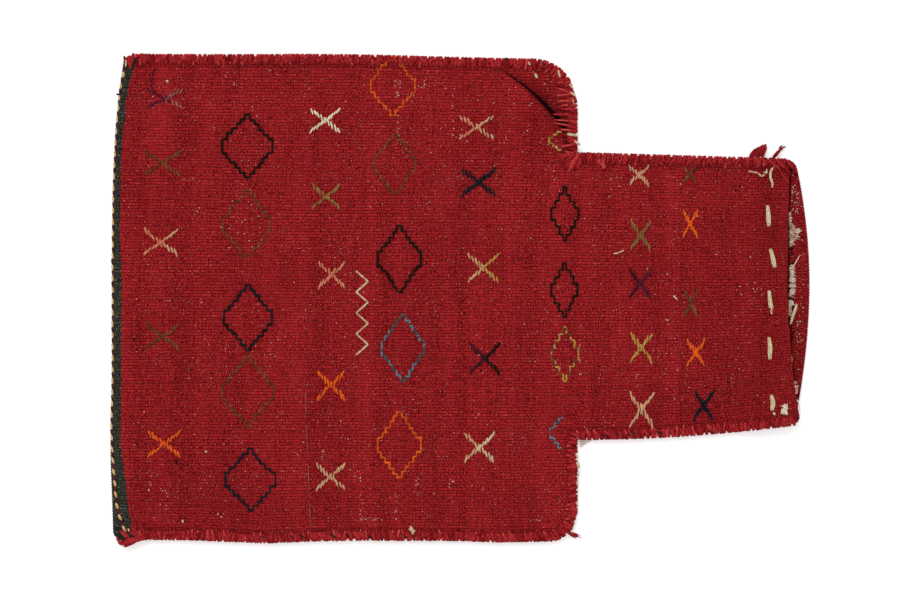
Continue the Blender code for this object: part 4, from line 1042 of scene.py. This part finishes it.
def cotton_bundle(path, wide, height, crest):
    """A long stitch of soft two-ply cotton: strands side by side that close up at both holes."""
    spots = np.array(path, dtype=float)
    legs = np.concatenate([[0], np.cumsum(np.hypot(*(spots[1:] - spots[:-1]).T))])
    count = max(4, round(wide / 0.62))
    strands = []
    for number in range(count):
        aside = (number / (count - 1) - 0.5) * (wide - 1.0)
        points = []
        for index in range(11):
            share = index / 10
            x, y, course = spot_along(spots, legs, share * legs[-1], 1)
            body = math.sin(math.pi * between(0.08, 0.92, share)) ** 0.35
            sway = aside * body + 0.16 * math.sin(7 * share + 2.1 * number)
            x, y = x - course[1] * sway, y + course[0] * sway
            round_top = crest * body * (1 - (2 * aside / wide) ** 2) + 0.12 * math.sin(9 * share + number)
            z = float(height(x, y)) + (round_top if 0 < index < 10 else -0.9)
            points.append((x, y, z))
        strands.append((chance.uniform(0.8, 1.15), number % 2, points))
    return strands


# Each stitch's course in the photograph, and its width in mm
HEM_STITCHES = (
    (((772.5, 162.5), (774.2, 166), (770.2, 170), (769.4, 177), (771.8, 183), (771.4, 189)), 1.9),
    (((766.4, 205), (767.4, 216), (767.6, 227)), 3.4), (((768.8, 248.5), (771.6, 258), (773.6, 268.5)), 3.4),
    (((767.8, 290), (769, 303), (771, 314)), 3.4), (((767.6, 336), (769, 347), (768.8, 360)), 3.5),
    (((770.4, 394), (772.4, 403), (771.2, 411)), 3.5),
)
cottons = (cotton, dyed_yarn("grey_cotton_strand", "#cdbd96", "#a4936c", 0.2))
for number, (spots, wide) in enumerate(HEM_STITCHES, 1):
    strands = cotton_bundle([from_photo(*spot) for spot in spots], wide, front_top, 0.9)
    lay_yarn(f"front_hem_stitch_{number}_yarn", strands, cottons, (f"front_hem_stitch_{number}",))


def flap_top(x, y):
    """The height of the back's turned-up hem."""
    return back_height(x, y) + THICKNESS / 2 + HEM_PITCH + 0.2


BACK_STITCHES = (((797.2, 303), (794, 313), (790.5, 324.5)), ((791, 355.5), (790.8, 362), (790.6, 369)))
for number, spots in enumerate(BACK_STITCHES, 1):
    strands = cotton_bundle([from_photo(*spot) for spot in spots], 2.4, flap_top, 0.5)
    lay_yarn(f"back_hem_stitch_{number}_yarn", strands, cottons, (f"back_hem_stitch_{number}",))

# Loose ends of the sewing yarn and the knot at the foot.
# Two frayed tufts at the mouth's upper corner, one at the lower shoulder, and a knot at the
# foot, where the lower overcasting begins. All are ends of the same red sewing wool.

# Each lock of hairs: its root and tip in the photograph, its hairs, their thickness and spread
HAIR_LOCKS = (
    ("upper_yarn_end_1", (749, 158.5), (766, 145), 13, 1.7, 0.6),
    ("upper_yarn_end_1", (755, 159), (766, 144.5), 13, 1.7, 0.6),
    ("upper_yarn_end_1", (762, 160), (766.5, 145.5), 11, 1.6, 0.6),
    ("upper_yarn_end_2", (771.5, 160), (781.5, 148), 6, 1.3, 0.35),
    ("lower_yarn_end", (567, 533), (579, 536.5), 9, 0.9, 1.2),
)
CURLED_TIP = ((780, 150), (783.5, 147))
KNOT_PLACE = (123, 543)


def tuft(root, tip, hairs, thick, spread, base, rise=1.0):
    """A frayed end: hairs that leave one place together and fan out."""
    strands = []
    (ax, ay), (bx, by) = root, tip
    for _ in range(hairs):
        dx, dy = chance.normal(0, spread, 2)
        bend = chance.normal(0, spread)
        reach = chance.uniform(0.7, 1.05)
        points = []
        for share in (0, 0.25, 0.5, 0.75, 1):
            curl = 4 * share * (1 - share) * bend
            x = between(ax, between(ax, bx, reach) + dx, share) + curl
            y = between(ay, between(ay, by, reach) + dy, share) - curl
            z = max(0.5, between(base, 1.2, share) + rise * 4 * share * (1 - share) * chance.uniform(0.4, 1))
            points.append((x, y, z))
        strands.append((thick * chance.uniform(0.7, 1.2), int(chance.random() < 0.3), points))
    return strands


loose_ends = {}
for name, root, tip, hairs, thick, spread in HAIR_LOCKS:
    lock = tuft(from_photo(*root), from_photo(*tip), hairs, thick, spread, 3.0)
    loose_ends.setdefault(name, []).extend(lock)
curl_root, curl_tip = (from_photo(*spot) for spot in CURLED_TIP)
loose_ends["upper_yarn_end_2"] += tuft(curl_root, curl_tip, 7, 1.1, 0.8, 1.5, 0.2)
for name, strands in loose_ends.items():
    lay_yarn(f"{name}_yarn", strands, (seam_wools[2], seam_wools[0]), (name,))

knot_x, knot_y = from_photo(*KNOT_PLACE)
strands = []
for index in range(5):
    angle = index * 1.3
    points = []
    for step in range(11):
        turn = 2 * math.pi * step / 10
        a, b = 2.2 * math.cos(turn), 2.6 * math.sin(turn)
        points.append((
            knot_x + a * math.cos(angle) - 0.3 * b * math.sin(angle),
            knot_y + a * math.sin(angle) * 0.8 + 0.3 * b * math.cos(angle),
            2.4 + 1.2 * math.sin(turn + angle),
        ))
    strands.append((1.7, index % 2, points))
lay_yarn("foot_yarn_knot_yarn", strands, seam_wools, ("foot_yarn_knot",))

# The raw warp ends in the mouth, where the hems were cut and have frayed.
# Undyed wool warp: short ends that stand out of the back's hem past the front's edge, with
# fluff where they have come loose. Each place is its corners in the photograph, its number of
# hairs, their length in mm and their dye.
FRAYED = (
    (790, 213, 791.5, 226, 34, 2.4, 0), (790.5, 224, 791.5, 247, 60, 3.6, 2),
    (791, 227, 794, 243, 64, 4.2, 2), (792, 229, 797, 239, 44, 4.6, 2),
    (796, 229, 799, 234, 9, 5.0, 0), (791, 255, 793, 264, 20, 4.0, 1),
    (790.5, 265, 793, 297, 80, 4.4, 3), (790.5, 266, 792.5, 296, 24, 4.4, 0),
    (789.5, 299, 791, 316, 44, 3.0, 3),
    (791, 302, 795, 305, 14, 2.6, 0),
    (793.5, 381, 796, 395, 30, 2.6, 0), (796, 400, 799, 412, 10, 2.0, 0), (796, 384, 798, 394, 12, 2.0, 3),
)
frayed_wools = (
    dyed_yarn("bare_warp_wool", "#fcf2e0", "#d6c6ac"), seam_wools[0],
    dyed_yarn("stained_warp_wool", "#cfa892", "#9c7060"),
    dyed_yarn("pinkish_warp_wool", "#f0d4c2", "#c09a88"),
)
strands = []
for ax, ay, bx, by, hairs, length, dye in FRAYED:
    for _ in range(hairs):
        px, py = from_photo(chance.uniform(ax, bx), chance.uniform(ay, by))
        angle, reach = chance.normal(0.1, 0.3), length * chance.uniform(0.5, 1.1)
        points = []
        for share in (0, 0.3, 0.65, 1):
            x = px - 1.5 + reach * share * math.cos(angle)
            y = py + reach * share * math.sin(angle) + 0.4 * math.sin(4 * share + px)
            lift = 1.2 * math.sin(math.pi * share) * chance.random()
            points.append((x, y, float(flap_top(x, y)) + 0.1 + lift))
        strands.append((chance.uniform(0.4, 0.75), dye if chance.random() < 0.8 else 0, points))
LONG_WARPS = (
    (((800, 255), (797, 260), (794, 265), (789, 270)), 0.8), (((797, 399), (798.8, 405), (800, 411)), 0.9),
)
for path, thick in LONG_WARPS:
    spots = [from_photo(*spot) for spot in path]
    strands.append((thick, 0, [(x, y, float(flap_top(x, y)) + 0.8) for x, y in spots]))
lay_yarn("raw_warp_ends", strands, frayed_wools)

# Worn spots, where single white warps show between the reds.
# Hardly a millimetre each, alone or in short rows where the weft has rubbed thin. Each place
# is its corners in the photograph and how many spots it has.
WORN_SPOTS = (
    (360, 476, 362, 522, 15), (359, 517, 398, 520, 15), (395, 484, 397, 519, 12), (415, 477, 420, 501, 12),
    (449, 477, 455, 488, 7), (530, 519, 540, 521, 5), (395, 80, 401, 98, 16), (397, 115, 399, 144, 11),
    (452, 83, 454, 137, 12), (459, 128, 462, 140, 6), (424, 80, 426, 93, 6), (412, 95, 414, 103, 4),
    (504, 133, 506, 147, 4), (148, 479, 152, 495, 9), (160, 487, 173, 510, 9), (228, 200, 266, 250, 30),
    (738, 282, 762, 296, 13), (579, 320, 581, 380, 14), (635, 370, 637, 392, 8), (730, 378, 732, 388, 5),
    (664, 318, 668, 327, 5), (741, 306, 743, 314, 3), (177, 178, 207, 182, 7), (322, 445, 324, 460, 6),
    (268, 70, 271, 80, 4), (233, 82, 237, 86, 3), (304, 80, 312, 130, 8), (600, 180, 760, 420, 34),
    (130, 80, 560, 520, 90), (218, 512, 222, 517, 3), (144, 411, 145, 413, 2), (122, 428, 124, 434, 2),
    (410, 70, 560, 170, 40),
)
FLAP_SPOTS = (
    (791.5, 184, 799, 213, 42), (797, 320, 803, 362, 24), (798, 366, 800, 370, 3), (799, 250, 804, 316, 12),
)


def worn_spots(places, height):
    """Single bits of warp, scattered over the places."""
    strands = []
    for ax, ay, bx, by, spots in places:
        for _ in range(spots):
            x, y = from_photo(chance.uniform(ax, bx), chance.uniform(ay, by))
            long = chance.uniform(0.3, 0.55)
            points = []
            for reach, rise in ((-long, -0.3), (0, -0.05), (long, -0.3)):
                points.append((x + reach, y, float(height(x, y)) + rise))
            strands.append((chance.uniform(0.45, 0.75), int(chance.random() < 0.25) * 2, points))
    return strands


strands = worn_spots(WORN_SPOTS, front_top) + worn_spots(FLAP_SPOTS, flap_top)
lay_yarn("worn_warp_spots", strands, frayed_wools)

# Odd threads on the face of the cloth.
# A stitched plum line by the first cross, single fine hairs, a few dark and white repair
# stitches, a small red oval, a fluffy tuft of cotton by the last hem stitch, and a scrap of
# plain cream weave that shows at the lower shoulder.
# Each line of stitches: its dye, its thickness in mm and its course in the photograph
ODD_STITCHES = (
    ("faded_plum", 1.6, ((155, 68), (152.5, 76), (151, 84), (153, 90), (157, 94))),
    ("black_green", 1.7, ((177.3, 458), (177.2, 464))), ("cream", 2.0, ((166.5, 81), (168.5, 82))),
    ("cream", 1.9, ((206, 450.5), (207.5, 451.5))), ("cream", 1.6, ((182.6, 519.5), (183, 523))),
    ("pink", 0.6, ((305.5, 389), (306.5, 420), (308.5, 460), (309.5, 500), (310.6, 529))),
    ("pink", 0.55, ((340, 129), (348, 132), (354, 139), (359, 147), (362, 152))),
    ("tan", 1.2, ((628, 155), (637, 160))), ("tan", 1.2, ((637, 155), (629, 160))),
    ("white", 0.9, ((613, 254), (618, 253), (624, 250))), ("white", 0.9, ((672, 295), (677, 300))),
    ("cream", 1.3, ((748, 171.5), (753, 172.3), (757, 173), (761, 177), (764, 174.6))),
    ("black_green", 1.5, ((116.6, 94.5), (119.5, 94.5))),
    ("cream", 1.8, ((772.5, 412.5), (774.5, 414.5))), ("black_green", 1.3, ((134.5, 338), (134.6, 341))),
)
RED_OVAL = ((134.5, 529), (136, 526.5), (139.5, 525.8), (142, 528), (141, 531), (137, 532), (134.5, 529))
FLUFF = ((781, 404.5, 786.5, 413, 80, 4.4), (763, 169, 767, 174, 12, 2.0))
SCRAP = (
    (580, 440, 592, 440.5), (580, 441.6, 590, 442), (580, 443.2, 587.5, 443.6), (580, 444.8, 585, 445),
    (580, 446.4, 583, 446.5),
)
dyes = sorted({dye for dye, _, _ in ODD_STITCHES})
strands = []
for ax, ay, bx, by in SCRAP:
    strands.append((1.5, dyes.index("cream"), [(*from_photo(ax, ay), 1.4), (*from_photo(bx, by), 1.0)]))
for dye, thick, path in ODD_STITCHES:
    spots = [from_photo(*spot) for spot in path]
    for start, end in zip(spots, spots[1:]):
        strands.append(stitch(start, end, thick, dyes.index(dye), 0.5))
for start, end in zip(RED_OVAL, RED_OVAL[1:]):
    strands.append(stitch(from_photo(*start), from_photo(*end), 1.5, len(dyes), 0.5))
for ax, ay, bx, by, hairs, length in FLUFF:
    for _ in range(hairs):
        x, y = from_photo(chance.uniform(ax, bx), chance.uniform(ay, by))
        angle = chance.normal(1.8, 0.35)
        reach = length * chance.uniform(0.4, 1.0)
        points = []
        for share in (0, 0.35, 0.7, 1):
            hx = x + reach * (share - 0.5) * math.cos(angle)
            hy = y + reach * (share - 0.5) * math.sin(angle + share)
            lift = 1.4 * math.sin(math.pi * share) * chance.random()
            points.append((hx, hy, float(front_top(hx, hy)) + 0.1 + lift))
        strands.append((chance.uniform(0.45, 0.8), len(dyes) + 1, points))
odd_wools = [dye_wools[dye] for dye in dyes] + [seam_wools[0], frayed_wools[0]]
lay_yarn("odd_threads", strands, odd_wools)
